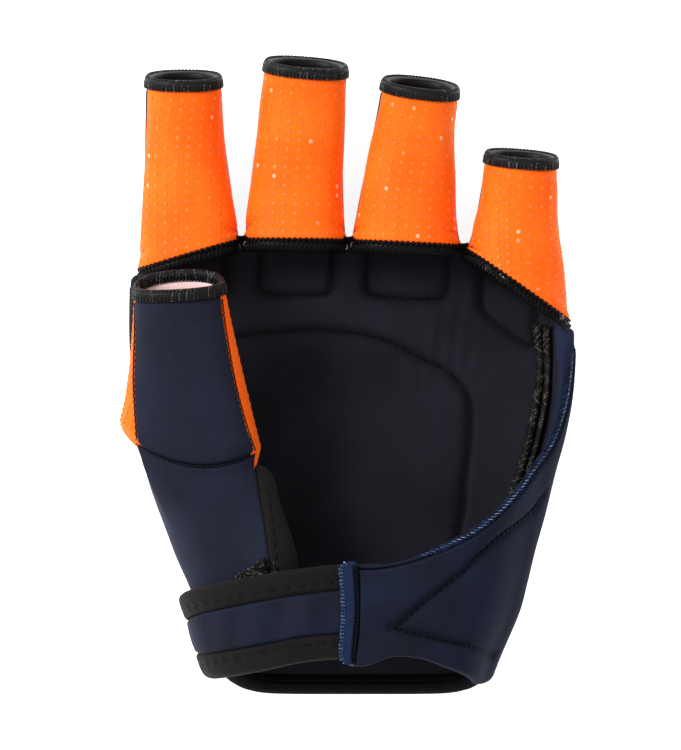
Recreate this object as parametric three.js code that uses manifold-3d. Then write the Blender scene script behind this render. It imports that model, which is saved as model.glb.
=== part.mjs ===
// A left-hand field hockey glove with open fingertips and an open palm, palm side up.
// It lies on its padded back: +Y runs from the cuff to the fingertips, +X towards the
// little finger, +Z up out of the palm. The origin is on the flat of the back, at z = 0.
// Every cloth piece is a thin wall between an outer and an inner skin. The hand's own
// girth gives the skins of the body pieces, and five tubes give the fingers and thumb.
import * as THREE from 'three';
import { mergeVertices } from 'three/addons/utils/BufferGeometryUtils.js';
import Module from 'manifold-3d';

// Driving dimensions, in millimetres.
const GLOVE_LENGTH = 173; // cuff hem to the rim of the middle finger
const KNUCKLE_WIDTH = 120; // across the four finger bases, outside
const HAND_DEPTH = 38; // floor to the top of the palm skin
const BACK_WALL = 5; // padded back, foam between two cloths
const FINGER_BACK_WALL = 3.4; // padded finger backs
const CLOTH_WALL = 2.5; // sponge cloth of the palm side
const GRIP_WALL = 1.3; // dotted grip cloth of the fingers
const FINGER_LENGTH = 45.8; // the longest sleeve, from the knuckle line to its rim
const TIP_WIDTH = 22.4; // the widest fingertip opening, outside
const TIP_DEPTH = 17.6; // the deepest one, palm to back
const FINGER_DEPTH = 23; // a finger sleeve at its base, palm to back
const SEAM_GAP = 0.3; // clearance wherever two pieces are sewn together
const FINGER_SPACE = 1.4; // between neighbouring sleeves at the crotch
const RIM_HEIGHT = 2.7; // elastic rim round each open fingertip
const RIM_OVERHANG = 0.5; // rim standing proud of the sleeve on both faces
const HEM_HEIGHT = 2.6; // elastic hem on the palm edge of each finger
const HEM_WALL = 1.95; // two layers of elastic
const RIM_CORE = 1.82; // elastic inside a rim, between its two overhangs
const BINDING_WIDTH = 6.4; // folded tape on strap, cuff and thumb opening
const CUFF_BINDING_WIDTH = 5; // folded tape on the cuff hem
const BINDING_PROUD = 0.4; // tape standing proud of the cloth it edges
const CORD_RADIUS = 1.1; // overlocked side seams
const EDGE_RADIUS = 0.85; // overlocked edge of the wing
const PATCH_WALL = 1.0; // loop patch under the strap
const TAB_BAND = 4.6; // overcast end of the wing's tab
const CHANNEL_RADIUS = 1.3; // stitched channel round each pad
const FLAT_SINK = 0.8; // how far the soft back is pressed flat where it rests
const NOTCH_RISE = 4.5; // back drawn up between two fingers
const NOTCH_REACH = 20; // length over which it is drawn up
const NOTCH_HALF = 9; // half the width over which it is drawn up
const CUFF_CORNER = 7; // rise of the cuff hem at its two corners
const SLEEVE_LIFT = 0.5; // a finger sleeve over the floor at its base
const WALL_DROP = 4.5; // how far the thumb panel falls away from the thumb at its outer end
const KNUCKLE_PAD_INSET = 4.6; // knuckle pad's edge in from the crotch
const KNUCKLE_PAD_DROP = 14.2; // its lower edge under the knuckle line
const KNUCKLE_PAD_TOP = 1.5; // the upper ends of its channel under that line
const KNUCKLE_PAD_CORNER = 2.5; // its cut corners

// How square the cross-section of each part is: 2 is an ellipse.
const BACK_SQUARENESS = 3;
const PALM_SQUARENESS = 2.6;
const SLEEVE_SQUARENESS = 2.3;
// Spreads the section points evenly over the width.
const POINT_SPREAD = 1.5;
// How sharply the cuff hem turns up at its corners.
const CUFF_SHARPNESS = 6;

// Cross-sections of the hand. along: share of the length from the cuff; left, right: shares of
// the knuckle width from the middle; side: height of the widest line, and top: of the palm skin,
// as shares of the hand depth.
const HAND_SECTIONS = [
  { along: 0.0, left: -0.262, right: 0.31, side: 0.33, top: 0.9 },
  { along: 0.06, left: -0.3, right: 0.343, side: 0.35, top: 0.94 },
  { along: 0.134, left: -0.332, right: 0.387, side: 0.37, top: 0.96 },
  { along: 0.176, left: -0.353, right: 0.403, side: 0.375, top: 0.98 },
  { along: 0.228, left: -0.387, right: 0.421, side: 0.38, top: 1.0 },
  { along: 0.292, left: -0.42, right: 0.447, side: 0.385, top: 1.0 },
  { along: 0.355, left: -0.448, right: 0.469, side: 0.385, top: 1.0 },
  { along: 0.402, left: -0.467, right: 0.488, side: 0.38, top: 1.0 },
  { along: 0.465, left: -0.479, right: 0.506, side: 0.37, top: 1.0 },
  { along: 0.535, left: -0.488, right: 0.514, side: 0.35, top: 1.0 },
  { along: 0.6, left: -0.49, right: 0.514, side: 0.335, top: 1.0 },
  { along: 0.67, left: -0.485, right: 0.5, side: 0.325, top: 1.0 },
  { along: 0.74, left: -0.46, right: 0.46, side: 0.315, top: 1.0 },
];

// The knuckle line, where fingers meet the hand, from the index side to the little finger's.
const KNUCKLES = [
  { across: -0.475, along: 0.664 },
  { across: -0.236, along: 0.713 },
  { across: 0.005, along: 0.711 },
  { across: 0.263, along: 0.702 },
  { across: 0.508, along: 0.582 },
];

// Finger sleeves, index to little. length, width, depth: shares of the longest sleeve and of the
// widest tip. lean: sideways shift of the tip, as a share of that width. yaw, tilt, in degrees;
// roll: how far the side seams turn round the sleeve by its tip, in degrees.
const FINGERS = [
  { name: 'index', length: 1, lean: -0.054, width: 0.91, depth: 0.98, yaw: 0, tilt: 13.5, roll: 20 },
  { name: 'middle', length: 0.987, lean: 0.125, width: 1, depth: 1, yaw: 4.7, tilt: 13.5, roll: 0 },
  { name: 'ring', length: 0.89, lean: 0.161, width: 0.93, depth: 0.98, yaw: 7, tilt: 14.5, roll: 14 },
  {
    name: 'little', length: 0.712, lean: 0.036, width: 0.875, depth: 0.91, yaw: 4.5, tilt: 11.5, roll: 0,
  },
];
const FINGER_FLARE = 1.5; // how late the sleeve opens out towards the hand
const FINGER_BASE_TILT = 2; // degrees
const ROLL_LATE = 3; // how late the seams turn on their way to the tip
// Section of a rim: shares of its height and of its thickness.
const RIM_SECTION = [[0, 0.15], [0.5, 0], [1, 0.2], [1, 0.8], [0.5, 1], [0, 0.85]];
// Share of the half turn over the palm side that a hem leaves free at each seam.
const HEM_END = 0.06;
// Widens the angle between a sleeve's two faces, so that its gap holds on the squarish section.
const SLIT_SPREAD = 1.6;

// The thumb sleeve, which lies over the palm with its back to the viewer, in millimetres.
const THUMB_LENGTH = 46.4;
const THUMB_BASE_WIDTH = 38.5;
const THUMB_TIP_WIDTH = 24.4;
const THUMB_BASE_DEPTH = 23;
const THUMB_TIP_DEPTH = 18.6;
const THUMB_TILT = 16;
const THUMB_BASE_TILT = 9;
const THUMB_FLARE = 1.15;
const THUMB_YAW = -3.6;
const THUMB_LEAN = -2.3;
// Its place on the hand, by shares of knuckle width, length and hand depth. The curved seam is
// lowest at dipAcross and rises by dip of the length over half the thumb's width.
const THUMB_PLACE = { across: -0.351, along: 0.364, height: 0.7, dipAcross: -0.316, dip: 0.0405 };
// Where its two side seams lie, as shares of the half width; along from base to tip.
const THUMB_SEAMS = [
  { along: 0, left: 0.72, right: 0.93 },
  { along: 0.25, left: 0.82, right: 0.88 },
  { along: 0.5, left: 0.91, right: 0.86 },
  { along: 0.8, left: 0.96, right: 0.89 },
  { along: 1, left: 0.99, right: 0.93 },
];

// Free edge of the thumb panel: across as a share of the knuckle width.
const PANEL_EDGE = [
  { along: 0.13, across: -0.155 },
  { along: 0.22, across: -0.172 },
  { along: 0.29, across: -0.184 },
  { along: 0.37, across: -0.2 },
];
const PANEL_LOW = 0.13; // the panel's lower end, under the strap, as a share of the length
const PANEL_FREE = 0.3; // share of the panel that lies on the hand before it rises to the thumb
const WALL_SHARE = 0.28; // share of the panel that climbs from the back's edge to the thumb's seam
// Tape on the panel's free edge: its width at the top and at the strap, and how far it rolls in,
// as shares of the tape's width; fast: how soon it widens.
const PANEL_TAPE = { top: 0.3, low: 1.1, roll: 0.3, fast: 1.5 };

// The strap from its end on the back, round the thumb side, to its end under the wing.
// girth: place on the hand's girth; low, high: shares of the length.
const STRAP_BANDS = [
  { girth: 3.2, low: 0.032, high: 0.148 },
  { girth: 3.0, low: 0.03, high: 0.156 },
  { girth: 2.84, low: 0.031, high: 0.168 },
  { girth: 2.65, low: 0.038, high: 0.18 },
  { girth: 2.46, low: 0.049, high: 0.193 },
  { girth: 2.28, low: 0.061, high: 0.204 },
  { girth: 2.1, low: 0.066, high: 0.211 },
  { girth: 1.75, low: 0.076, high: 0.213 },
];

// The wing from the side seam over to the end of its tab. Both edges by girth and length share.
const WING_BANDS = [
  { low: 1.0, lowAlong: 0.026, high: 1.0, highAlong: 0.556 },
  { low: 1.09, lowAlong: 0.023, high: 1.056, highAlong: 0.47 },
  { low: 1.23, lowAlong: 0.023, high: 1.13, highAlong: 0.394 },
  { low: 1.4, lowAlong: 0.036, high: 1.245, highAlong: 0.346 },
  { low: 1.56, lowAlong: 0.053, high: 1.39, highAlong: 0.3 },
  { low: 1.68, lowAlong: 0.067, high: 1.555, highAlong: 0.25 },
  { low: 1.81, lowAlong: 0.07, high: 1.74, highAlong: 0.216 },
  { low: 1.94, lowAlong: 0.056, high: 1.91, highAlong: 0.204 },
  { low: 2.104, lowAlong: 0.058, high: 2.09, highAlong: 0.208 },
];
const WING_LIFT_START = 1.16; // girth where the wing starts to rise over the strap
const WING_LIFT_END = 1.55; // girth where it has risen
const WING_EDGE_START = 0.03; // share of the wing where its overlocked edge starts
const STRAP_LIFT = SEAM_GAP + PATCH_WALL + SEAM_GAP; // the strap rides over the loop patch

// The loop patch, by shares of the thumb panel's width and height.
const PATCH = { left: 0.62, right: 0.985, low: 0.06, highLeft: 0.21, highRight: 0.36 };
// Binding on the back's open thumb-side edge: its ends as shares of the length, its height in mm.
const SIDE_BINDING = { low: 0.4, high: 0.64, height: 1.4 };
// Outline of the big pad of the back, by shares of the knuckle width and of the length.
const BACK_PAD = [
  [-0.24, 0.562], [-0.143, 0.571], [-0.063, 0.573], [0.03, 0.567], [0.102, 0.553], [0.159, 0.532],
  [0.218, 0.512], [0.258, 0.487], [0.278, 0.457], [0.279, 0.419], [0.274, 0.379], [0.266, 0.337],
  [0.258, 0.277], [0.225, 0.199], [0.117, 0.153], [-0.017, 0.142], [-0.15, 0.153], [-0.25, 0.199],
  [-0.3, 0.28], [-0.321, 0.384], [-0.317, 0.477], [-0.292, 0.535],
];
// How much further in each knuckle pad's two edges lie than the common inset, index to little.
const KNUCKLE_PAD_SIDES = [[1.6, 1], [1, 1], [1, 1], [1, 2.2]];

// Side seam inside the little finger's edge: shares of width and length.
const SIDE_SEAMS = [
  {
    name: 'side_seam_inner',
    route: [[0.432, 0.585], [0.444, 0.514], [0.43, 0.442], [0.403, 0.36], [0.345, 0.25]],
  },
  {
    name: 'side_seam_outer',
    route: [[0.46, 0.57], [0.465, 0.51], [0.461, 0.455], [0.437, 0.38], [0.38, 0.25]],
  },
];

// Steps of each piece: round or across it, then along it.
const STEPS = {
  back: [22, 13],
  pad: 32,
  cuff: 22,
  sideBinding: [6, 8],
  sleeve: [9, 7],
  rim: 20,
  hem: 10,
  panel: [12, 8],
  panelTape: [3, 8],
  patch: [6, 4],
  strap: 14,
  wing: [18, 8],
  tab: [2, 6],
  edge: [6, 22],
  seam: [6, 12],
  channel: 4,
};
const DIRECTION_STEP = 0.02; // share of a piece over which an edge's direction is taken
const MERGE_DISTANCE = 1e-3; // vertices nearer than this are one
const FINDING_STEPS = 8; // tries at where the back meets the knuckle line
const KNUCKLE_OVERRUN = 0.1; // share by which the knuckle line runs on at its ends
const PALM_START = 1 + 1e-9; // girth just on the palm side of the little-finger edge

const NAVY = { color: 0x23263a, roughness: 0.85, metalness: 0 };
const BLACK = { color: 0x15151a, roughness: 0.9, metalness: 0 };
const ORANGE = { color: 0xff6a1c, roughness: 0.6, metalness: 0 };
const BLUE = { color: 0x2c4a7c, roughness: 0.8, metalness: 0 };

const CUFF_Y = -GLOVE_LENGTH / 2;
const HALF_TURN = Math.PI;
const DEGREE = HALF_TURN / 180;
const wasm = await Module();
wasm.setup();
const glove = new THREE.Group();

const yAt = (along) => CUFF_Y + along * GLOVE_LENGTH;
const xAt = (across) => across * KNUCKLE_WIDTH;
const mix = (a, b, t) => a + (b - a) * t;
const smooth = (t) => {
  const s = THREE.MathUtils.clamp(t, 0, 1);
  return s * s * (3 - 2 * s);
};
const range = (from, to, steps) =>
  Array.from({ length: steps + 1 }, (_, i) => mix(from, to, i / steps));

// Smooth curve through one column of a table, read at the value of another column.
function read(table, key, column, value) {
  const rising = table[1][key] > table[0][key];
  const rows = rising ? table : [...table].reverse();
  const last = rows.length - 1;
  let i = 0;
  while (i < last - 1 && value > rows[i + 1][key]) i += 1;
  const slope = (k) => {
    const a = rows[Math.max(k - 1, 0)];
    const b = rows[Math.min(k + 1, last)];
    return (b[column] - a[column]) / (b[key] - a[key]);
  };
  const span = rows[i + 1][key] - rows[i][key];
  const t = THREE.MathUtils.clamp((value - rows[i][key]) / span, 0, 1);
  const start = rows[i][column];
  const end = rows[i + 1][column];
  const bend = t * (1 - t) * span;
  return mix(start, end, smooth(t)) + bend * ((1 - t) * slope(i) - t * slope(i + 1));
}

// Straight lines through the knuckle line.
function knuckleY(x) {
  const across = x / KNUCKLE_WIDTH;
  let i = 0;
  while (i < KNUCKLES.length - 2 && across > KNUCKLES[i + 1].across) i += 1;
  const a = KNUCKLES[i];
  const b = KNUCKLES[i + 1];
  const share = (across - a.across) / (b.across - a.across);
  const t = THREE.MathUtils.clamp(share, -KNUCKLE_OVERRUN, 1 + KNUCKLE_OVERRUN);
  return yAt(mix(a.along, b.along, t));
}

// How far the back is drawn up between two fingers.
function notchRise(x, y) {
  const near = smooth(1 - (knuckleY(x) - y) / NOTCH_REACH);
  const crotches = KNUCKLES.slice(1, -1)
    .map((k) => 1 - Math.abs(x - xAt(k.across)) / NOTCH_HALF);
  return NOTCH_RISE * near * smooth(Math.max(...crotches));
}

// A point of the hand. girth: -1 thumb-side edge, 0 middle of the back, 1 little-finger edge,
// 2 middle of the palm, 3 thumb-side edge again. depth: into the wall from its outer skin.
function handPoint(girth, y, depth) {
  const along = (y - CUFF_Y) / GLOVE_LENGTH;
  const [left, right] = ['left', 'right'].map((c) => xAt(read(HAND_SECTIONS, 'along', c, along)));
  const side = HAND_DEPTH * read(HAND_SECTIONS, 'along', 'side', along);
  const top = HAND_DEPTH * read(HAND_SECTIONS, 'along', 'top', along);
  const turned = girth > 3 ? girth - 4 : girth;
  const onPalm = turned > 1;
  const share = onPalm ? 2 - turned : turned;
  const angle = Math.sign(share) * (HALF_TURN / 2) * Math.abs(share) ** POINT_SPREAD;
  const power = 2 / (onPalm ? PALM_SQUARENESS : BACK_SQUARENESS);
  const out = Math.sign(angle) * Math.abs(Math.sin(angle)) ** power;
  const up = Math.max(Math.cos(angle), 0) ** power;
  const x = (left + right) / 2 + ((right - left) / 2 - depth) * out;
  if (onPalm) {
    const seam = side + SEAM_GAP;
    return new THREE.Vector3(x, y, seam + (top - seam - depth) * up);
  }
  const floor = Math.max(depth, 0);
  const z = Math.max(floor, side - (side + FLAT_SINK - depth) * up);
  return new THREE.Vector3(x, y, z + notchRise(x, y));
}

// The girth, on the palm side or the back, of a skin's point x across the hand at y.
function girthAt(x, y, onPalm, depth = 0) {
  const along = (y - CUFF_Y) / GLOVE_LENGTH;
  const [left, right] = ['left', 'right'].map((c) => xAt(read(HAND_SECTIONS, 'along', c, along)));
  const half = (right - left) / 2 - depth;
  const out = THREE.MathUtils.clamp((x - (left + right) / 2) / half, -1, 1);
  const angle = Math.asin(Math.abs(out) ** ((onPalm ? PALM_SQUARENESS : BACK_SQUARENESS) / 2));
  const share = Math.sign(out) * (angle / (HALF_TURN / 2)) ** (1 / POINT_SPREAD);
  return onPalm ? 2 - share : share;
}

// The sleeve of a finger or the thumb as plain numbers, all in millimetres.
function fingerSleeve(finger, i) {
  const from = xAt(KNUCKLES[i].across);
  const to = xAt(KNUCKLES[i + 1].across);
  const baseX = (from + to) / 2;
  const halfDepth = FINGER_DEPTH / 2;
  return {
    name: finger.name,
    base: new THREE.Vector3(baseX, knuckleY(baseX) + SEAM_GAP, halfDepth + SLEEVE_LIFT),
    baseTilt: FINGER_BASE_TILT,
    baseHalf: [(to - from - FINGER_SPACE) / 2, halfDepth],
    tipHalf: [(finger.width * TIP_WIDTH) / 2, (finger.depth * TIP_DEPTH) / 2],
    length: finger.length * FINGER_LENGTH,
    lean: finger.lean * TIP_WIDTH,
    yaw: finger.yaw,
    tilt: finger.tilt,
    flare: FINGER_FLARE,
    edgeY: (x) => knuckleY(x) + SEAM_GAP,
    seams: (v) => [HALF_TURN, 0].map((angle) => angle - finger.roll * DEGREE * v ** ROLL_LATE),
  };
}

function thumbSleeve() {
  const base = new THREE.Vector3(
    xAt(THUMB_PLACE.across),
    yAt(THUMB_PLACE.along),
    HAND_DEPTH * THUMB_PLACE.height,
  );
  const half = THUMB_BASE_WIDTH / 2;
  const dipX = xAt(THUMB_PLACE.dipAcross);
  const seamAngle = (share) => Math.asin(Math.sqrt(Math.max(0, 1 - share ** SLEEVE_SQUARENESS)));
  return {
    name: 'thumb',
    base,
    baseTilt: THUMB_BASE_TILT,
    baseHalf: [half, THUMB_BASE_DEPTH / 2],
    tipHalf: [THUMB_TIP_WIDTH / 2, THUMB_TIP_DEPTH / 2],
    length: THUMB_LENGTH,
    lean: THUMB_LEAN,
    yaw: THUMB_YAW,
    tilt: THUMB_TILT,
    flare: THUMB_FLARE,
    edgeY: (x) => base.y + THUMB_PLACE.dip * GLOVE_LENGTH * (((x - dipX) / half) ** 2),
    seams: (v) => [
      HALF_TURN - seamAngle(read(THUMB_SEAMS, 'along', 'left', v)),
      seamAngle(read(THUMB_SEAMS, 'along', 'right', v)),
    ],
  };
}

const SLEEVES = [...FINGERS.map(fingerSleeve), thumbSleeve()];

// Direction of a sleeve's axis from its sideways yaw and upward tilt in degrees.
function axisOf(yaw, tilt) {
  const [a, b] = [yaw, tilt].map(THREE.MathUtils.degToRad);
  return new THREE.Vector3(Math.sin(a) * Math.cos(b), Math.cos(a) * Math.cos(b), Math.sin(b));
}

// A point of a sleeve. v: 0 at its base, 1 at the open tip; angle: 0 little-finger side,
// quarter turn palm side; depth: into the wall. Above v = 1 it runs on straight.
function sleevePoint(sleeve, v, angle, depth) {
  const t = Math.min(v, 1);
  const tipAxis = axisOf(sleeve.yaw, sleeve.tilt);
  const baseAxis = axisOf(0, sleeve.baseTilt);
  const middle = axisOf(0, (sleeve.baseTilt + sleeve.tilt) / 2);
  const tip = sleeve.base.clone().addScaledVector(middle, sleeve.length);
  tip.x += sleeve.lean;
  const third = sleeve.length / 3;
  const curve = new THREE.CubicBezierCurve3(
    sleeve.base,
    sleeve.base.clone().addScaledVector(baseAxis, third),
    tip.clone().addScaledVector(tipAxis, -third),
    tip,
  );
  const centre = curve.getPoint(t).addScaledVector(tipAxis, (v - t) * sleeve.length);
  const across = new THREE.Vector3(1, 0, 0)
    .applyAxisAngle(new THREE.Vector3(0, 0, 1), -THREE.MathUtils.degToRad(sleeve.yaw * smooth(t)));
  const tilt = THREE.MathUtils.degToRad(mix(0, sleeve.tilt, smooth(t)));
  const ahead = new THREE.Vector3(-across.y, across.x, 0);
  const palmward = new THREE.Vector3(0, 0, Math.cos(tilt)).addScaledVector(ahead, -Math.sin(tilt));
  const taper = (1 - t) ** sleeve.flare;
  const [halfWidth, halfDepth] = [0, 1].map((k) =>
    mix(sleeve.tipHalf[k], sleeve.baseHalf[k], taper) - depth);
  const power = 2 / SLEEVE_SQUARENESS;
  const [c, s] = [Math.cos(angle), Math.sin(angle)];
  const point = centre
    .addScaledVector(across, halfWidth * Math.sign(c) * Math.abs(c) ** power)
    .addScaledVector(palmward, halfDepth * Math.sign(s) * Math.abs(s) ** power);
  point.y += (sleeve.edgeY(point.x) - sleeve.base.y) * (1 - t) ** 2;
  return point;
}

// A closed solid from vertices and triangles, its faces turned outwards.
function solid(points, triangles) {
  const volume = triangles.reduce((sum, [a, b, c]) =>
    sum + points[a].dot(points[b].clone().cross(points[c])), 0);
  const turned = volume < 0 ? triangles.map(([a, b, c]) => [a, c, b]) : triangles;
  const geometry = new THREE.BufferGeometry();
  const flat = points.flatMap((p) => p.toArray());
  geometry.setAttribute('position', new THREE.Float32BufferAttribute(flat, 3));
  geometry.setIndex(turned.flat());
  return geometry;
}

// A wall between two skins. skin(u, v, side) gives a point; side is 0 outside and 1 inside.
function wall(skin, columns, rows) {
  const count = columns.length * rows.length;
  const points = [0, 1].flatMap((side) =>
    rows.flatMap((v) => columns.map((u) => skin(u, v, side))));
  const at = (side, j, i) => side * count + j * columns.length + i;
  const triangles = [];
  const quad = (a, b, c, d) => triangles.push([a, b, c], [a, c, d]);
  const [lastU, lastV] = [columns.length - 1, rows.length - 1];
  for (let j = 0; j < lastV; j += 1) {
    for (let i = 0; i < lastU; i += 1) {
      quad(at(0, j, i), at(0, j, i + 1), at(0, j + 1, i + 1), at(0, j + 1, i));
      quad(at(1, j, i), at(1, j + 1, i), at(1, j + 1, i + 1), at(1, j, i + 1));
    }
    quad(at(0, j, 0), at(0, j + 1, 0), at(1, j + 1, 0), at(1, j, 0));
    quad(at(0, j, lastU), at(1, j, lastU), at(1, j + 1, lastU), at(0, j + 1, lastU));
  }
  for (let i = 0; i < lastU; i += 1) {
    quad(at(0, 0, i), at(1, 0, i), at(1, 0, i + 1), at(0, 0, i + 1));
    quad(at(0, lastV, i), at(0, lastV, i + 1), at(1, lastV, i + 1), at(1, lastV, i));
  }
  return solid(points, triangles);
}

// A band of the given section swept along frames of { centre, out, up }, open or closed on itself.
function sweep(frames, section, closed) {
  const points = frames.flatMap((f) => section.map(([a, b]) =>
    f.centre.clone().addScaledVector(f.out, a).addScaledVector(f.up, b)));
  const around = section.length;
  const triangles = [];
  const rings = closed ? frames.length : frames.length - 1;
  for (let j = 0; j < rings; j += 1) {
    const next = ((j + 1) % frames.length) * around;
    for (let i = 0; i < around; i += 1) {
      const k = (i + 1) % around;
      const [here, beside] = [j * around + i, j * around + k];
      triangles.push([here, beside, next + k], [here, next + k, next + i]);
    }
  }
  if (!closed) {
    const end = (frames.length - 1) * around;
    for (let i = 1; i < around - 1; i += 1) {
      triangles.push([0, i + 1, i], [end, end + i, end + i + 1]);
    }
  }
  return solid(points, triangles);
}

// Frames along a route of points lying on a skin whose outward direction is given for each.
function framesAlong(centres, ups) {
  return centres.map((centre, i) => {
    const run = centres[Math.min(i + 1, centres.length - 1)].clone()
      .sub(centres[Math.max(i - 1, 0)]).normalize();
    const up = ups[i].clone().addScaledVector(run, -run.dot(ups[i])).normalize();
    return { centre, out: run.clone().cross(up), up };
  });
}

const fullTurn = (steps) => range(0, 2 * HALF_TURN, steps).slice(0, -1);
const roundSection = (radius, sides) =>
  fullTurn(sides).map((a) => [radius * Math.cos(a), radius * Math.sin(a)]);

function add(name, geometry, finish) {
  const mesh = new THREE.Mesh(geometry, new THREE.MeshStandardMaterial(finish));
  mesh.name = name;
  glove.add(mesh);
  return mesh;
}

const asManifold = (geometry) => {
  const merged = mergeVertices(geometry, MERGE_DISTANCE);
  return new wasm.Manifold(new wasm.Mesh({
    numProp: 3,
    vertProperties: merged.attributes.position.array,
    triVerts: new Uint32Array(merged.index.array),
  }));
};

function asGeometry(manifold) {
  const mesh = manifold.getMesh();
  return new THREE.BufferGeometry()
    .setAttribute('position', new THREE.BufferAttribute(mesh.vertProperties, 3))
    .setIndex(new THREE.BufferAttribute(mesh.triVerts, 1));
}

// Padded back: one wall from the cuff to the knuckle line, its hem level cut by the corners.
const cuffY = (share) => CUFF_Y + CUFF_CORNER * Math.abs(share) ** CUFF_SHARPNESS;
const backLow = (share) => cuffY(share) + CUFF_BINDING_WIDTH + SEAM_GAP;
function backHigh(share) {
  let y = yAt(KNUCKLES[1].along);
  for (let i = 0; i < FINDING_STEPS; i += 1) {
    y = knuckleY(handPoint(share, y, 0).x) - SEAM_GAP;
  }
  return y;
}
const backShell = wall(
  (share, v, side) => handPoint(share, mix(backLow(share), backHigh(share), v), side * BACK_WALL),
  range(-1, 1, STEPS.back[0]),
  range(0, 1, STEPS.back[1]),
);

// Inner skin of the back at a place on the plan, and a channel pressed into it along a route.
const onBack = (x, y) => {
  const inner = handPoint(girthAt(x, y, false, BACK_WALL), y, BACK_WALL);
  return new THREE.Vector3(x, y, inner.z);
};
function channel(plan, closed) {
  const centres = plan.map(([x, y]) => onBack(x, y));
  const up = new THREE.Vector3(0, 0, 1);
  const frames = centres.map((centre, i) => {
    const n = centres.length;
    const ahead = centres[closed ? (i + 1) % n : Math.min(i + 1, n - 1)];
    const behind = centres[closed ? (i + n - 1) % n : Math.max(i - 1, 0)];
    const run = ahead.clone().sub(behind).normalize();
    return { centre, out: run.clone().cross(up).normalize(), up };
  });
  return asManifold(sweep(frames, roundSection(CHANNEL_RADIUS, STEPS.channel), closed));
}

function bigPadPlan() {
  const corners = BACK_PAD.map(([a, b]) => new THREE.Vector3(xAt(a), yAt(b), 0));
  const outline = new THREE.CatmullRomCurve3(corners, true);
  return outline.getSpacedPoints(STEPS.pad).slice(0, -1).map((p) => [p.x, p.y]);
}

// Three sides of a knuckle pad; the fourth is under the finger's hem.
function knucklePadPlan(i) {
  const [leftSide, rightSide] = KNUCKLE_PAD_SIDES[i];
  const from = xAt(KNUCKLES[i].across) + KNUCKLE_PAD_INSET * leftSide;
  const to = xAt(KNUCKLES[i + 1].across) - KNUCKLE_PAD_INSET * rightSide;
  const at = (x, drop) => [x, knuckleY(x) - drop];
  return [
    at(from, KNUCKLE_PAD_TOP),
    at(from, KNUCKLE_PAD_DROP - KNUCKLE_PAD_CORNER),
    at(from + KNUCKLE_PAD_CORNER, KNUCKLE_PAD_DROP),
    at((from + to) / 2, KNUCKLE_PAD_DROP),
    at(to - KNUCKLE_PAD_CORNER, KNUCKLE_PAD_DROP),
    at(to, KNUCKLE_PAD_DROP - KNUCKLE_PAD_CORNER),
    at(to, KNUCKLE_PAD_TOP),
  ];
}

let shell = asManifold(backShell);
shell = shell.subtract(channel(bigPadPlan(), true));
KNUCKLE_PAD_SIDES.forEach((_, i) => {
  shell = shell.subtract(channel(knucklePadPlan(i), false));
});
add('back_shell', asGeometry(shell), NAVY);

// Cuff binding, a folded tape on the lower edge of the back.
add('cuff_binding', wall(
  (share, v, side) => handPoint(share, cuffY(share) + CUFF_BINDING_WIDTH * v, side * BACK_WALL),
  range(-1, 1, STEPS.cuff),
  [0, 1],
), BLACK);

// Binding on the thumb-side edge of the back, where the hand's web leaves it open.
const sideTapeYs = range(yAt(SIDE_BINDING.low), yAt(SIDE_BINDING.high), STEPS.sideBinding[1]);
const sideTapeCentres = sideTapeYs.map((y) => {
  const [outer, inner] = [0, 1].map((side) => handPoint(-1, y, side * BACK_WALL));
  return outer.lerp(inner, 0.5).add(new THREE.Vector3(0, 0, SEAM_GAP));
});
const sideTapeSection = range(HALF_TURN, 0, STEPS.sideBinding[0]).map((a) => [
  (BACK_WALL / 2) * Math.cos(a),
  SIDE_BINDING.height * Math.sin(a),
]);
add('side_binding', sweep(
  framesAlong(sideTapeCentres, sideTapeCentres.map(() => new THREE.Vector3(0, 0, 1))),
  sideTapeSection,
  false,
), BLACK);

// Each sleeve: grip cloth on one face, padded cloth on the other, and a rim round the tip.
for (const sleeve of SLEEVES) {
  const isThumb = sleeve.name === 'thumb';
  const slit = (SEAM_GAP / sleeve.tipHalf[1]) * SLIT_SPREAD;
  const face = (palmward, thickness) => (u, v, side) => {
    const [left, right] = sleeve.seams(v);
    const angle = palmward
      ? mix(left - slit / 2, right + slit / 2, u)
      : mix(left + slit / 2, right + 2 * HALF_TURN - slit / 2, u);
    return sleevePoint(sleeve, v, angle, side * thickness);
  };
  const columns = range(0, 1, STEPS.sleeve[0]);
  const rows = range(0, 1, STEPS.sleeve[1]);
  const palmFace = face(true, isThumb ? CLOTH_WALL : GRIP_WALL);
  const backFace = face(false, isThumb ? GRIP_WALL : FINGER_BACK_WALL);
  const [palmName, backName] = isThumb ? ['_back', '_grip'] : ['_grip', '_back'];
  add(sleeve.name + palmName, wall(palmFace, columns, rows), isThumb ? NAVY : ORANGE);
  add(sleeve.name + backName, wall(backFace, columns, rows), isThumb ? ORANGE : NAVY);
  const start = 1 + SEAM_GAP / sleeve.length;
  const thickness = 2 * RIM_OVERHANG + RIM_CORE;
  // Turned by a degree, so that no point falls on the sharp middle of the section's sides.
  const turns = fullTurn(STEPS.rim).map((angle) => angle + DEGREE);
  const points = turns.flatMap((angle) => RIM_SECTION.map(([height, depth]) => {
    const v = start + (height * RIM_HEIGHT) / sleeve.length;
    return sleevePoint(sleeve, v, angle, depth * thickness - RIM_OVERHANG);
  }));
  const around = RIM_SECTION.length;
  const triangles = turns.flatMap((_, j) => RIM_SECTION.flatMap((__, i) => {
    const here = j * around;
    const ahead = ((j + 1) % turns.length) * around;
    const k = (i + 1) % around;
    return [[here + i, here + k, ahead + k], [here + i, ahead + k, ahead + i]];
  }));
  add(sleeve.name + '_rim', solid(points, triangles), BLACK);
}

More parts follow.
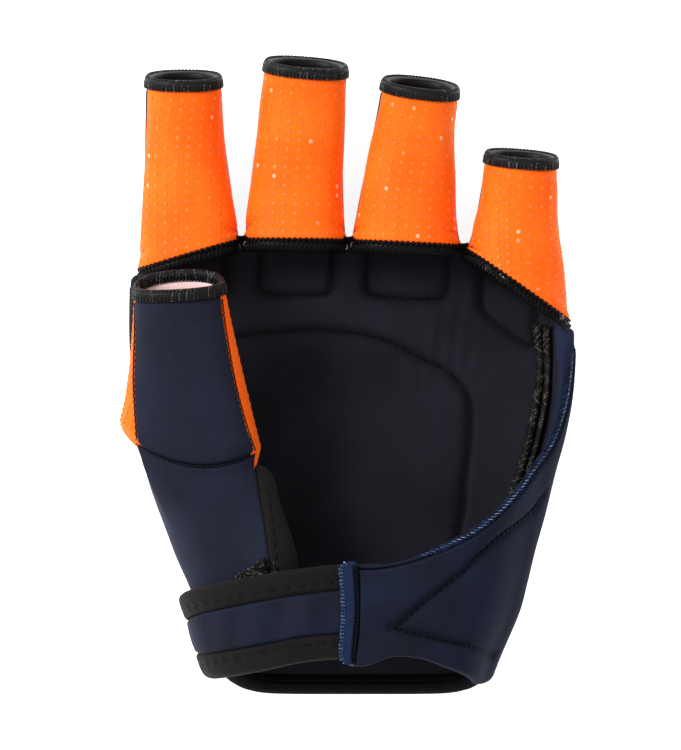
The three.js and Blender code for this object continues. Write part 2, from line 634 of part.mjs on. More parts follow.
// Hem on the palm edge of each finger, a soft band hung just under the grip cloth.
for (const sleeve of SLEEVES.slice(0, FINGERS.length)) {
  const drop = (u, v, side) => {
    const angle = HALF_TURN * mix(1 - HEM_END, HEM_END, u);
    const point = sleevePoint(sleeve, 0, angle, side * HEM_WALL);
    point.y -= 2 * SEAM_GAP + HEM_HEIGHT * v;
    return point;
  };
  add(sleeve.name + '_hem', wall(drop, range(0, 1, STEPS.hem), [0, 1]), BLACK);
}

// Thumb panel: the palm skin from the strap up to the thumb's curved seam, which it meets.
const thumb = SLEEVES.at(-1);
const panelEdgeGirth = (y) => {
  const across = read(PANEL_EDGE, 'along', 'across', (y - CUFF_Y) / GLOVE_LENGTH);
  return girthAt(xAt(across), y, true);
};
function panelPoint(u, v, side) {
  const depth = side * CLOTH_WALL;
  const [left, right] = thumb.seams(0);
  const angle = mix(left, right, Math.max(0, (u - WALL_SHARE) / (1 - WALL_SHARE)));
  const seam = sleevePoint(thumb, 0, angle, depth);
  const climbed = Math.min(1, u / WALL_SHARE);
  seam.y -= SEAM_GAP + WALL_DROP * (1 - climbed);
  const y = mix(yAt(PANEL_LOW), seam.y, v);
  const girthFor = (at) => mix(3, panelEdgeGirth(at), u);
  const onHand = handPoint(girthFor(y), y, depth);
  const pull = seam.sub(handPoint(girthFor(seam.y), seam.y, depth));
  const share = climbed * smooth((v - PANEL_FREE) / (1 - PANEL_FREE));
  return new THREE.Vector3(onHand.x + pull.x * share, y, onHand.z + pull.z * share);
}
add('thumb_panel', wall(
  panelPoint,
  range(0, 1, STEPS.panel[0]),
  range(0, 1, STEPS.panel[1]),
), NAVY);

// Binding on the panel's free edge, which it carries on, widening and rolling in downwards.
function panelBindingPoint(u, v, side) {
  const [outer, inner] = [0, 1].map((s) => panelPoint(1, v, s));
  const normal = outer.clone().sub(inner).normalize();
  const run = outer.clone().sub(panelPoint(1 - DIRECTION_STEP, v, 0)).setY(0).normalize();
  const width = mix(PANEL_TAPE.top, PANEL_TAPE.low, smooth(PANEL_TAPE.fast * (1 - v)));
  const reach = SEAM_GAP + BINDING_WIDTH * width * u;
  const base = side ? inner : outer.addScaledVector(normal, BINDING_PROUD);
  return base.addScaledVector(run, reach)
    .addScaledVector(normal, -PANEL_TAPE.roll * u * u * BINDING_WIDTH);
}
add('thumb_panel_binding', wall(
  panelBindingPoint,
  range(0, 1, STEPS.panelTape[0]),
  range(0, 1, STEPS.panelTape[1]),
), BLACK);

// Loop patch that the strap closes over.
add('loop_patch', wall((u, v, side) => {
  const high = mix(PATCH.highLeft, PATCH.highRight, u);
  const place = [mix(PATCH.left, PATCH.right, u), mix(PATCH.low, high, v)];
  const [outer, inner] = [0, 1].map((s) => panelPoint(...place, s));
  const normal = outer.clone().sub(inner).normalize();
  return outer.addScaledVector(normal, SEAM_GAP + (1 - side) * PATCH_WALL);
}, range(0, 1, STEPS.patch[0]), range(0, 1, STEPS.patch[1])), BLACK);

// Wrist strap and its two bindings, three bands side by side on one lifted skin.
function strapBand(name, from, to, proud, finish) {
  add(name, wall((u, v, side) => {
    const girth = mix(STRAP_BANDS[0].girth, STRAP_BANDS.at(-1).girth, u);
    const low = yAt(read(STRAP_BANDS, 'girth', 'low', girth));
    const high = yAt(read(STRAP_BANDS, 'girth', 'high', girth));
    const y = mix(from(low, high), to(low, high), v);
    const depth = -STRAP_LIFT - CLOTH_WALL - proud + side * (CLOTH_WALL + proud);
    return handPoint(girth, y, depth);
  }, range(0, 1, STEPS.strap), [0, 1]), finish);
}
const clothLow = (low) => low + BINDING_WIDTH + SEAM_GAP;
const clothHigh = (low, high) => high - BINDING_WIDTH - SEAM_GAP;
const lowerTapeTop = (low) => low + BINDING_WIDTH;
const upperTapeLow = (low, high) => high - BINDING_WIDTH;
strapBand('strap', clothLow, clothHigh, 0, NAVY);
strapBand('strap_lower_binding', (low) => low, lowerTapeTop, BINDING_PROUD, BLACK);
strapBand('strap_upper_binding', upperTapeLow, (low, high) => high, BINDING_PROUD, BLACK);

// Closing wing: sewn along the little-finger edge, sweeping over the wrist to a tab.
const WING_LAYER = STRAP_LIFT + 2 * CLOTH_WALL + BINDING_PROUD + SEAM_GAP;
const wingRow = (u) => {
  const bands = WING_BANDS.map((band, i) => ({ ...band, u: i / (WING_BANDS.length - 1) }));
  return ['low', 'lowAlong', 'high', 'highAlong'].map((c) => read(bands, 'u', c, u));
};
function wingPoint(u, v, depth) {
  const [low, lowAlong, high, highAlong] = wingRow(u);
  const girth = mix(low, high, v);
  const y = yAt(mix(lowAlong, highAlong, v));
  const risen = (girth - WING_LIFT_START) / (WING_LIFT_END - WING_LIFT_START);
  return handPoint(Math.max(girth, PALM_START), y, depth - WING_LAYER * smooth(risen));
}
const tabEnd = wingPoint(1, 0.5, 0);
const tabWidth = tabEnd.distanceTo(wingPoint(1 - DIRECTION_STEP, 0.5, 0)) / DIRECTION_STEP;
const tabShare = 1 - TAB_BAND / tabWidth;
const tabStart = tabShare + (1.5 * SEAM_GAP) / tabWidth;
// The tab's band runs on upwards until it is level with the overlocked edge beside it.
const tabLength = wingPoint(1, 0, 0).distanceTo(wingPoint(1, 1, 0));
const tabTop = 1 + (SEAM_GAP + 2 * EDGE_RADIUS) / tabLength;
add('wing', wall(
  (u, v, side) => wingPoint(u, v, side * CLOTH_WALL),
  range(0, tabShare, STEPS.wing[0]),
  range(0, 1, STEPS.wing[1]),
), NAVY);
add('wing_tab', wall(
  (u, v, side) => wingPoint(u, v, side * CLOTH_WALL + (side ? 0 : -BINDING_PROUD)),
  range(tabStart, 1, STEPS.tab[0]),
  range(0, tabTop, STEPS.tab[1]),
), BLUE);

// Overlocked cord along the wing's free edge.
const edgeShares = range(WING_EDGE_START, tabShare, STEPS.edge[1]);
const edgeUps = [];
const edgeCentres = edgeShares.map((u) => {
  const onEdge = (at, v = 1) => wingPoint(at, v, CLOTH_WALL / 2);
  const edge = onEdge(u);
  const along = onEdge(u + DIRECTION_STEP).sub(onEdge(u - DIRECTION_STEP));
  const inwards = onEdge(u, 1 - DIRECTION_STEP).sub(edge);
  const normal = along.clone().cross(inwards).normalize();
  const away = along.clone().cross(normal).normalize();
  edgeUps.push(normal);
  if (away.dot(inwards) > 0) away.negate();
  return edge.addScaledVector(away, SEAM_GAP + EDGE_RADIUS);
});
const edgeSection = roundSection(EDGE_RADIUS, STEPS.edge[0]);
add('wing_edge', sweep(framesAlong(edgeCentres, edgeUps), edgeSection, false), BLUE);

// Two overlocked ridges where the back is joined to the wing, on the inside.
for (const seam of SIDE_SEAMS) {
  const route = seam.route.map(([a, b]) => new THREE.Vector2(xAt(a), yAt(b)));
  const plan = new THREE.SplineCurve(route);
  const centres = plan.getPoints(STEPS.seam[1]).map((p) => onBack(p.x, p.y));
  const ups = centres.map((c) => {
    const lower = onBack(c.x - 1, c.y);
    return new THREE.Vector3(lower.z - c.z, 0, 1).normalize();
  });
  centres.forEach((c, i) => c.addScaledVector(ups[i], CORD_RADIUS + 2 * SEAM_GAP));
  const section = roundSection(CORD_RADIUS, STEPS.seam[0]);
  add(seam.name, sweep(framesAlong(centres, ups), section, false), BLACK);
}

export default glove;
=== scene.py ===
"""A left-hand field hockey glove, palm up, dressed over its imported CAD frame."""

import math

import bpy
import numpy as np
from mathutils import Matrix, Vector


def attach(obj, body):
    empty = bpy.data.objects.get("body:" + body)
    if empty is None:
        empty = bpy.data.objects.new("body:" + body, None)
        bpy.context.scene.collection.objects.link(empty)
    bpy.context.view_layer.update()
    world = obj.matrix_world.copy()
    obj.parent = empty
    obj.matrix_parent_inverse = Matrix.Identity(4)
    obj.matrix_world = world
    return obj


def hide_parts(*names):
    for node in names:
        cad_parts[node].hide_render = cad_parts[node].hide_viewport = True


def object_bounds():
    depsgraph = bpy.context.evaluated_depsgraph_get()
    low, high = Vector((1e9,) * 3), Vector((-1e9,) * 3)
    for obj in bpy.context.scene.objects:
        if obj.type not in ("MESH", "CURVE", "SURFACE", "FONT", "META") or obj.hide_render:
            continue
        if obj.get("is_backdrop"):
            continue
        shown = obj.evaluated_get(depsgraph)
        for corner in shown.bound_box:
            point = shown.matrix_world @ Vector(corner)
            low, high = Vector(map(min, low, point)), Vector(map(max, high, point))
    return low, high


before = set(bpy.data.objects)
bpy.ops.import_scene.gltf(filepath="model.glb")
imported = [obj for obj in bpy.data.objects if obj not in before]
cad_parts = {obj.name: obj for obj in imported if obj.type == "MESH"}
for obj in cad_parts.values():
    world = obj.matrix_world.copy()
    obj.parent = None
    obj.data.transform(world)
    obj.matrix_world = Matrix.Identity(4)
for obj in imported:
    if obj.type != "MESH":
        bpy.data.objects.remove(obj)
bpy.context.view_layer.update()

# The padded back. A sandwich of near-black navy knit over 5 mm foam, cut to the hand and
# stitched through round one big pad and four knuckle pads. Its inner side is what the open
# palm shows, so the pads swell towards the viewer and pull in at their stitched channels.

GLOVE_LENGTH = 173.0  # millimetres, as every length here until a mesh is made
KNUCKLE_WIDTH = 120.0
HAND_DEPTH = 38.0
BACK_WALL = 5.0
SEAM_GAP = 0.3
# What stays open where a sewn joint shows, and how far a rolled edge laps over a thicker one.
SEWN_GAP = 0.06
SEWN_LAP = 0.45
CUFF_BINDING_WIDTH = 5.0
CUFF_CORNER = 7.0
CUFF_Y = -GLOVE_LENGTH / 2
# How square the hand's section is on its palm side and on its back.
PALM_POWER = 2 / 2.6
BACK_POWER = 2 / 3
GIRTH_POWER = 1.5
HAND = {
    "along": (0, 0.06, 0.134, 0.176, 0.228, 0.292, 0.355, 0.402, 0.465, 0.535, 0.6, 0.67, 0.74),
    "left": (-0.262, -0.3, -0.332, -0.353, -0.387, -0.42, -0.448, -0.467, -0.479, -0.488, -0.49,
             -0.485, -0.46),
    "right": (0.31, 0.343, 0.387, 0.403, 0.421, 0.447, 0.469, 0.488, 0.506, 0.514, 0.514, 0.5,
              0.46),
    "side": (0.33, 0.35, 0.37, 0.375, 0.38, 0.385, 0.385, 0.38, 0.37, 0.35, 0.335, 0.325, 0.315),
    "top": (0.9, 0.94, 0.96, 0.98, 1, 1, 1, 1, 1, 1, 1, 1, 1),
}
KNUCKLES = {"across": (-0.475, -0.236, 0.005, 0.263, 0.508),
            "along": (0.664, 0.713, 0.711, 0.702, 0.582)}


def y_at(along):
    return CUFF_Y + GLOVE_LENGTH * np.asarray(along, float)


def mix(a, b, t):
    return a + (b - a) * t


def smooth(t):
    t = np.clip(t, 0, 1)
    return t * t * (3 - 2 * t)


def read(table, key, column, at):
    """Smooth curve through one column of a table, read at places along another."""
    k, c = np.array(table[key], float), np.array(table[column], float)
    if k[1] < k[0]:
        k, c = k[::-1], c[::-1]
    last = len(k) - 1
    slope = np.array([(c[min(i + 1, last)] - c[max(i - 1, 0)])
                      / (k[min(i + 1, last)] - k[max(i - 1, 0)]) for i in range(last + 1)])
    i = np.clip(np.searchsorted(k, at) - 1, 0, last - 1)
    span = k[i + 1] - k[i]
    t = np.clip((at - k[i]) / span, 0, 1)
    bend = t * (1 - t) * span
    return mix(c[i], c[i + 1], smooth(t)) + bend * ((1 - t) * slope[i] - t * slope[i + 1])


def knuckle_y(x):
    """The line where the fingers meet the hand."""
    k, c = (np.array(KNUCKLES[name]) for name in ("across", "along"))
    across = np.asarray(x, float) / KNUCKLE_WIDTH
    i = np.clip(np.searchsorted(k, across) - 1, 0, len(k) - 2)
    t = np.clip((across - k[i]) / (k[i + 1] - k[i]), -0.1, 1.1)
    return y_at(mix(c[i], c[i + 1], t))


def notch_rise(x, y):
    """How far the back is drawn up between two fingers."""
    near = smooth(1 - (knuckle_y(x) - y) / 20)
    crotch = [1 - np.abs(x - a * KNUCKLE_WIDTH) / (0.075 * KNUCKLE_WIDTH)
              for a in KNUCKLES["across"][1:-1]]
    return 4.5 * near * smooth(np.max(crotch, axis=0))


def hand(girth, y, depth=0.0):
    """Points round the hand. girth: -1 thumb-side edge, 0 middle of the back, 1 little-finger
    edge, 2 middle of the palm, 3 thumb-side edge again. depth: in from the outer skin."""
    girth, y, depth = np.broadcast_arrays(*(np.asarray(a, float) for a in (girth, y, depth)))
    along = (y - CUFF_Y) / GLOVE_LENGTH
    left, right = (KNUCKLE_WIDTH * read(HAND, "along", side, along) for side in ("left", "right"))
    side, top = (HAND_DEPTH * read(HAND, "along", column, along) for column in ("side", "top"))
    turned = np.where(girth > 3, girth - 4, girth)
    palm = turned > 1
    share = np.where(palm, 2 - turned, turned)
    angle = np.sign(share) * np.pi / 2 * np.abs(share) ** GIRTH_POWER
    power = np.where(palm, PALM_POWER, BACK_POWER)
    out = np.sign(angle) * np.abs(np.sin(angle)) ** power
    up = np.maximum(np.cos(angle), 0) ** power
    x = (left + right) / 2 + ((right - left) / 2 - depth) * out
    over = side + SEWN_GAP + (top - side - SEWN_GAP - depth) * up
    under = np.maximum(np.maximum(depth, 0), side - (side + 0.8 - depth) * up) + notch_rise(x, y)
    return np.stack([x, y, np.where(palm, over, under)], -1)


def girth_at(x, y, palm, depth=0.0):
    """The girth of a skin's point x across the hand at y."""
    along = (np.asarray(y, float) - CUFF_Y) / GLOVE_LENGTH
    left, right = (KNUCKLE_WIDTH * read(HAND, "along", side, along) for side in ("left", "right"))
    out = np.clip((x - (left + right) / 2) / ((right - left) / 2 - depth), -1, 1)
    angle = np.arcsin(np.abs(out) ** (1 / (PALM_POWER if palm else BACK_POWER)))
    share = np.sign(out) * (angle / (np.pi / 2)) ** (1 / GIRTH_POWER)
    return 2 - share if palm else share


def stations(length, radius, steps):
    """Places over a cloth of this length, as shares, closer where its edge rolls over, and how
    thick the wall is at each, as a share."""
    turn = np.linspace(0, np.pi / 2, 5)
    roll = radius * (1 - np.cos(turn)) / length
    inside = np.linspace(roll[-1], 1 - roll[-1], steps)[1:-1]
    place = np.concatenate([roll, inside, 1 - roll[::-1]])
    return place, np.concatenate([np.sin(turn), np.ones(len(inside)), np.sin(turn[::-1])])


def mesh_of(name, points, faces, lay):
    """A smooth closed piece from points in millimetres, with lay as its UV map in millimetres."""
    mesh = bpy.data.meshes.new(name)
    corner = points[faces[:, :3]]
    volume = (corner[:, 0] * np.cross(corner[:, 1], corner[:, 2])).sum()
    turned = faces[:, ::-1] if volume < 0 else faces
    mesh.from_pydata((points / 1000).tolist(), [], turned.tolist())
    at = np.zeros(len(mesh.loops), int)
    mesh.loops.foreach_get("vertex_index", at)
    cut = mesh.uv_layers.new(name="cut")
    cut.data.foreach_set("uv", lay[at].ravel())
    mesh.polygons.foreach_set("use_smooth", [True] * len(mesh.polygons))
    mesh.update()
    piece = bpy.data.objects.new(name, mesh)
    bpy.context.scene.collection.objects.link(piece)
    return piece


def cloth(name, skin, size, wall, steps, relief=None):
    """A wall of cloth with rolled edges. skin(u, v, depth) gives its points, size is about how
    wide and long it is, and relief(u, v) how far its outer and inner faces stand out."""
    across, full_u = stations(size[0], wall / 2, steps[0])
    along, full_v = stations(size[1], wall / 2, steps[1])
    u, v = np.meshgrid(across, along)
    full = np.minimum(*np.meshgrid(full_u, full_v))
    out, inwards = relief(u, v) if relief else (0.0, 0.0)
    thin = wall / 2 * (1 - full)
    outer = skin(u, v, thin - out * full)
    inner = skin(u, v, wall - thin + inwards * full)
    rows, columns = u.shape
    front = np.arange(u.size).reshape(u.shape)
    back = front.copy()
    back[1:-1, 1:-1] = u.size + np.arange((rows - 2) * (columns - 2)).reshape(rows - 2, -1)
    quads = [np.stack([g[:-1, :-1], g[:-1, 1:], g[1:, 1:], g[1:, :-1]], -1).reshape(-1, 4)
             for g in (front, back)]
    lay = np.zeros(u.shape + (2,))
    lay[:, 1:, 0] = np.linalg.norm(np.diff(outer, axis=1), axis=2).cumsum(1)
    lay[:, :, 0] -= lay[:, -1:, 0] / 2
    lay[1:, :, 1] = np.linalg.norm(np.diff(outer, axis=0), axis=2).cumsum(0)
    points = np.concatenate([outer.reshape(-1, 3), inner[1:-1, 1:-1].reshape(-1, 3)])
    lays = np.concatenate([lay.reshape(-1, 2), lay[1:-1, 1:-1].reshape(-1, 2)])
    return mesh_of(name, points, np.concatenate([quads[0], quads[1][:, ::-1]]), lays)


def linear(colour):
    """An sRGB hex colour as Blender's linear RGBA."""
    parts = [int(colour[i:i + 2], 16) / 255 for i in (1, 3, 5)]
    return [c / 12.92 if c <= 0.04045 else ((c + 0.055) / 1.055) ** 2.4 for c in parts] + [1.0]


def node(tree, kind, links=(), **settings):
    """Adds one node. links names or numbers its inputs, each with a value or an output socket."""
    made = tree.nodes.new(kind)
    for name, value in settings.items():
        setattr(made, name, value)
    for name, source in dict(links).items():
        if isinstance(source, bpy.types.NodeSocket):
            tree.links.new(source, made.inputs[name])
        else:
            made.inputs[name].default_value = source
    return made


def maths(tree, operation, *values):
    """One sum in a tree, as its output."""
    return node(tree, "ShaderNodeMath", dict(enumerate(values)), operation=operation).outputs[0]


def mixed(tree, share, one, other):
    """Two colours mixed by a share, as an output."""
    return node(tree, "ShaderNodeMix", {0: share, 6: one, 7: other},
                data_type="RGBA").outputs[2]


def finish_of(name, **surface):
    """A material with its shader, whose sockets are set straight from surface."""
    material = bpy.data.materials.new(name)
    material.use_nodes = True
    shader = material.node_tree.nodes["Principled BSDF"]
    for socket, value in surface.items():
        shader.inputs[socket.replace("_", " ")].default_value = value
    return material, material.node_tree, shader


def knit(tree, shader, colours, courses, wales, depth, nap_share=0.5, clouds=55.0):
    """Knitted face: loops courses and wales mm apart and depth mm deep, laid on the piece's own
    cut, with a napped grain and clouds of the second colour a centimetre or two wide."""
    cut = node(tree, "ShaderNodeUVMap", uv_map="cut")
    place = node(tree, "ShaderNodeSeparateXYZ", {0: cut.outputs["UV"]})
    waves = []
    for axis, pitch in (("X", wales), ("Y", courses)):
        turn = maths(tree, "MULTIPLY", place.outputs[axis], 2 * math.pi / pitch)
        waves.append(maths(tree, "SINE", turn))
    loops = maths(tree, "ADD", *waves)
    nap = node(tree, "ShaderNodeTexNoise", {"Vector": cut.outputs["UV"], "Scale": 1.7,
                                            "Detail": 4.0, "Roughness": 0.7})
    height = maths(tree, "MULTIPLY_ADD", nap.outputs["Fac"], 8 * nap_share, loops)
    bump = node(tree, "ShaderNodeBump", {"Height": height, "Strength": 0.8,
                                         "Distance": depth / 1000})
    where = node(tree, "ShaderNodeTexCoord")
    cloud = node(tree, "ShaderNodeTexNoise", {"Vector": where.outputs["Object"],
                                              "Scale": clouds, "Detail": 3.0})
    grain = maths(tree, "MULTIPLY_ADD", nap.outputs["Fac"], nap_share, cloud.outputs["Fac"])
    low, high = 0.38 * (1 + nap_share), 0.62 * (1 + nap_share)
    spread = node(tree, "ShaderNodeMapRange", {"Value": grain, "From Min": low, "From Max": high})
    colour = mixed(tree, spread.outputs[0], *map(linear, colours))
    tree.links.new(colour, shader.inputs["Base Color"])
    tree.links.new(bump.outputs["Normal"], shader.inputs["Normal"])
    return colour


def through(points, count, closed=False):
    """A smooth line through points, as count evenly spaced places."""
    points = np.asarray(points, float)
    n = len(points)
    t = np.linspace(0, 1, 24, endpoint=False)[:, None]
    parts = []
    for i in range(n if closed else n - 1):
        a, b, c, d = (points[k % n] if closed else points[min(max(k, 0), n - 1)]
                      for k in range(i - 1, i + 3))
        parts.append(0.5 * (2 * b + (c - a) * t + (2 * a - 5 * b + 4 * c - d) * t ** 2
                            + (3 * b - a - 3 * c + d) * t ** 3))
    line = np.concatenate(parts + [points[:1] if closed else points[-1:]])
    run = np.concatenate([[0], np.linalg.norm(np.diff(line, axis=0), axis=1).cumsum()])
    at = np.linspace(0, run[-1], count, endpoint=not closed)
    return np.stack([np.interp(at, run, line[:, k]) for k in range(line.shape[1])], -1)


def distance_to(line, x, y):
    """Distance in plan from each place to a line."""
    return np.hypot(x[..., None] - line[:, 0], y[..., None] - line[:, 1]).min(-1)


# The big pad's outline in plan, read off the photograph where the palm shows it.
BIG_PAD = ((-28.8, 10.8), (-17.1, 12.2), (-7.6, 12.7), (3.6, 11.6), (12.2, 9.2), (19.1, 5.5),
           (26.2, 2.1), (30.9, -2.3), (33.3, -7.4), (33.5, -14), (32.9, -21), (31.9, -28.2),
           (31, -38.5), (27, -52), (14, -60), (-2, -62), (-18, -60), (-30, -52), (-36, -38),
           (-38.5, -20), (-38, -4), (-35, 6))
PAD_INSET = 4.6
PAD_DROP = 14.2
CHANNEL_DEPTH = 1.7
CHANNEL_WIDTH = 1.3
big_pad = through(BIG_PAD, 360, closed=True)
knuckle_pads = []
for i in range(4):
    low, high = (KNUCKLES["across"][k] * KNUCKLE_WIDTH for k in (i, i + 1))
    low += PAD_INSET * (1.6 if i == 0 else 1)
    high -= PAD_INSET * (2.2 if i == 3 else 1)
    plan = [(low, 1.5), (low, 7), (low + 0.1, PAD_DROP - 2.6), (low + 0.9, PAD_DROP - 0.8),
            (low + 2.8, PAD_DROP), ((low + high) / 2, PAD_DROP + 0.3), (high - 2.8, PAD_DROP),
            (high - 0.9, PAD_DROP - 0.8), (high - 0.1, PAD_DROP - 2.6), (high, 7), (high, 1.5)]
    knuckle_pads.append(through([(x, knuckle_y(x) - drop) for x, drop in plan], 120))
channels = np.concatenate([big_pad, *knuckle_pads])


def cuff_y(share):
    return CUFF_Y + CUFF_CORNER * np.abs(share) ** 6


def back_high(share):
    y = y_at(KNUCKLES["along"][1]) + 0 * share
    for _ in range(8):
        y = knuckle_y(hand(share, y)[..., 0]) - SEAM_GAP
    return y


def back_skin(u, v, depth):
    share = mix(-1, 1, u)
    low = cuff_y(share) + CUFF_BINDING_WIDTH + SEAM_GAP
    return hand(share, mix(low, back_high(share), v), depth)


def creases(x, y):
    """Faint folds that run down the palm from the crotch of the ring and little fingers."""
    lean = x - 0.12 * (y - 8)
    near = np.exp(-((x - 27) / 9) ** 2) * np.exp(-((y - 8) / 11) ** 2)
    return 0.28 * near * np.sin(2 * np.pi * lean / 4.4)


LINING_GRID = 3.0
LINING_SWELL = 1.1
LINING_PRESSURE = 4
LINING_FRAMES = 20
grid_x, grid_y = np.arange(-69, 69.1, LINING_GRID), np.arange(-93, 48.1, LINING_GRID)


def blown_lining():
    """How far the lining swells over the foam, on a grid in plan. It is held at its rim and
    along the stitched channels, and blown out between them."""
    x, y = np.meshgrid(grid_x, grid_y)
    gap = distance_to(channels, x, y)
    at = np.arange(x.size).reshape(x.shape)
    quads = np.stack([at[:-1, :-1], at[:-1, 1:], at[1:, 1:], at[1:, :-1]], -1).reshape(-1, 4)
    mesh = bpy.data.meshes.new("lining_blown")
    mesh.from_pydata((np.stack([x, y, 0 * x], -1).reshape(-1, 3) / 1000).tolist(), [],
                     quads.tolist())
    sheet = bpy.data.objects.new("lining_blown", mesh)
    bpy.context.scene.collection.objects.link(sheet)
    edge_of_hand = np.abs(girth_at(x, y, False)) > 0.93
    sewn_down = edge_of_hand | (gap < 0.55 * LINING_GRID) | (y < y_at(0.03)) | (y > knuckle_y(x))
    held = sheet.vertex_groups.new(name="held")
    held.add(np.flatnonzero(sewn_down.ravel()).tolist(), 1.0, "REPLACE")
    blown = sheet.modifiers.new("blown", "CLOTH")
    blown.settings.vertex_group_mass = "held"
    blown.settings.use_pressure = True
    blown.settings.uniform_pressure_force = LINING_PRESSURE
    blown.settings.effector_weights.gravity = 0
    blown.point_cache.frame_end = LINING_FRAMES
    for moment in range(1, LINING_FRAMES + 1):
        bpy.context.scene.frame_set(moment)
        bpy.context.view_layer.update()
    result = sheet.evaluated_get(bpy.context.evaluated_depsgraph_get()).to_mesh()
    points = np.zeros(len(result.vertices) * 3)
    result.vertices.foreach_get("co", points)
    bpy.context.scene.frame_set(1)
    bpy.data.objects.remove(sheet)
    height = np.abs(points[2::3].reshape(x.shape)) * 1000
    return LINING_SWELL * np.minimum(1, height / np.percentile(height, 90))


lining_height = blown_lining()


def lining_swell(x, y):
    """The blown lining's height at places in plan, read between the grid's points."""
    i = np.clip((x - grid_x[0]) / LINING_GRID, 0, len(grid_x) - 1.001)
    j = np.clip((y - grid_y[0]) / LINING_GRID, 0, len(grid_y) - 1.001)
    a, b = i.astype(int), j.astype(int)
    s, t = smooth(i - a), smooth(j - b)
    return mix(mix(lining_height[b, a], lining_height[b, a + 1], s),
               mix(lining_height[b + 1, a], lining_height[b + 1, a + 1], s), t)


def quilting(u, v):
    """Pads swell on the palm side and pull in along their channels; the outside, which lies
    on the floor, is only drawn in a little."""
    inner = back_skin(u, v, BACK_WALL)
    x, y = inner[..., 0], inner[..., 1]
    dip = np.exp(-((distance_to(channels, x, y) / CHANNEL_WIDTH) ** 2))
    return -0.5 * dip, lining_swell(x, y) - CHANNEL_DEPTH * dip + creases(x, y)


back = cloth("padded_back", back_skin, (150, 115), BACK_WALL, (170, 130), quilting)


def points_of(piece):
    """The points of a piece's mesh in millimetres."""
    points = np.zeros(len(piece.data.vertices) * 3)
    piece.data.vertices.foreach_get("co", points)
    return points.reshape(-1, 3) * 1000


def mark(piece, name, values):
    """Keeps a value for each point of a piece, for its finish to read."""
    kept = piece.data.attributes.new(name, "FLOAT", "POINT")
    kept.data.foreach_set("value", values)


# The near-black painted into sewn creases as shade.
PAINTED_CREASE_SHADE = (0.0008, 0.0008, 0.001, 1.0)


def paint_shade_in_creases(tree, shader, colour, share):
    """Painted shade: the colour is mixed towards near-black along sewn creases."""
    crease_painted_shade = node(tree, "ShaderNodeAttribute", attribute_name="crease_painted_shade")
    amount = maths(tree, "MULTIPLY", crease_painted_shade.outputs["Fac"], share)
    deep = mixed(tree, amount, colour, PAINTED_CREASE_SHADE)
    tree.links.new(deep, shader.inputs["Base Color"])


# Polyester knit brushed on the palm side: almost black, a little violet where light grazes it,
# with no gloss. Its wales are 0.5 mm apart, drawn 0.8 mm so that they show.
lining, tree, shader = finish_of("brushed_polyester_lining", Roughness=0.92,
                                 Specular_IOR_Level=0.12, Sheen_Weight=0.08,
                                 Sheen_Roughness=0.6, Sheen_Tint=linear("#9a95ae"))
colour = knit(tree, shader, ("#101015", "#17171f"), 1.0, 0.8, 0.022, nap_share=0.35)
at = points_of(back)
# Painted shade: nearness to the stitched channels, by which the lining's colour is darkened.
mark(back, "crease_painted_shade", np.exp(-((distance_to(channels, at[:, 0], at[:, 1]) / 1.25) ** 2)))
paint_shade_in_creases(tree, shader, colour, 0.85)
back.data.materials.append(lining)
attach(back, "root")
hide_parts("back_shell")


def new_tree(name, sizes):
    """A geometry tree with named inputs: the places, the sizes, a seed and a finish."""
    tree = bpy.data.node_groups.new(name, "GeometryNodeTree")
    tree.interface.new_socket("Places", in_out="INPUT", socket_type="NodeSocketGeometry")
    for size in sizes:
        tree.interface.new_socket(size, in_out="INPUT", socket_type="NodeSocketFloat")
    tree.interface.new_socket("Seed", in_out="INPUT", socket_type="NodeSocketInt")
    tree.interface.new_socket("Finish", in_out="INPUT", socket_type="NodeSocketMaterial")
    tree.interface.new_socket("Sewn", in_out="OUTPUT", socket_type="NodeSocketGeometry")
    return tree, node(tree, "NodeGroupInput")


def point_of(tree, x, y, z):
    """A point from three sockets or numbers."""
    return node(tree, "ShaderNodeCombineXYZ", {"X": x, "Y": y, "Z": z}).outputs[0]


def thread_along(tree, line, radius):
    """A round thread of six sides along a curve."""
    section = node(tree, "GeometryNodeCurvePrimitiveCircle", {"Resolution": 6, "Radius": radius})
    return node(tree, "GeometryNodeCurveToMesh", {"Curve": line, "Fill Caps": True,
                                                  "Profile Curve": section.outputs[0]}).outputs[0]


def set_on_places(tree, given, shape):
    """Sets the shape at each place, turned to its up and run, with a chance shade of its own."""
    up = node(tree, "GeometryNodeInputNamedAttribute", {"Name": "up"}, data_type="FLOAT_VECTOR")
    run = node(tree, "GeometryNodeInputNamedAttribute", {"Name": "run"},
               data_type="FLOAT_VECTOR")
    turn = node(tree, "FunctionNodeAxesToRotation", {0: up.outputs[0], 1: run.outputs[0]})
    placed = node(tree, "GeometryNodeInstanceOnPoints", {
        "Points": given.outputs["Places"], "Instance": shape, "Rotation": turn.outputs[0]})
    chance = node(tree, "FunctionNodeRandomValue", {"Seed": given.outputs["Seed"]})
    shade = node(tree, "GeometryNodeStoreNamedAttribute", {
        "Geometry": placed.outputs[0], "Name": "shade", "Value": chance.outputs[1]},
        domain="INSTANCE")
    real = node(tree, "GeometryNodeRealizeInstances", {"Geometry": shade.outputs[0]})
    soft = node(tree, "GeometryNodeSetShadeSmooth", {"Geometry": real.outputs[0]})
    finished = node(tree, "GeometryNodeSetMaterial", {
        "Geometry": soft.outputs[0], "Material": given.outputs["Finish"]})
    node(tree, "NodeGroupOutput", {"Sewn": finished.outputs[0]})


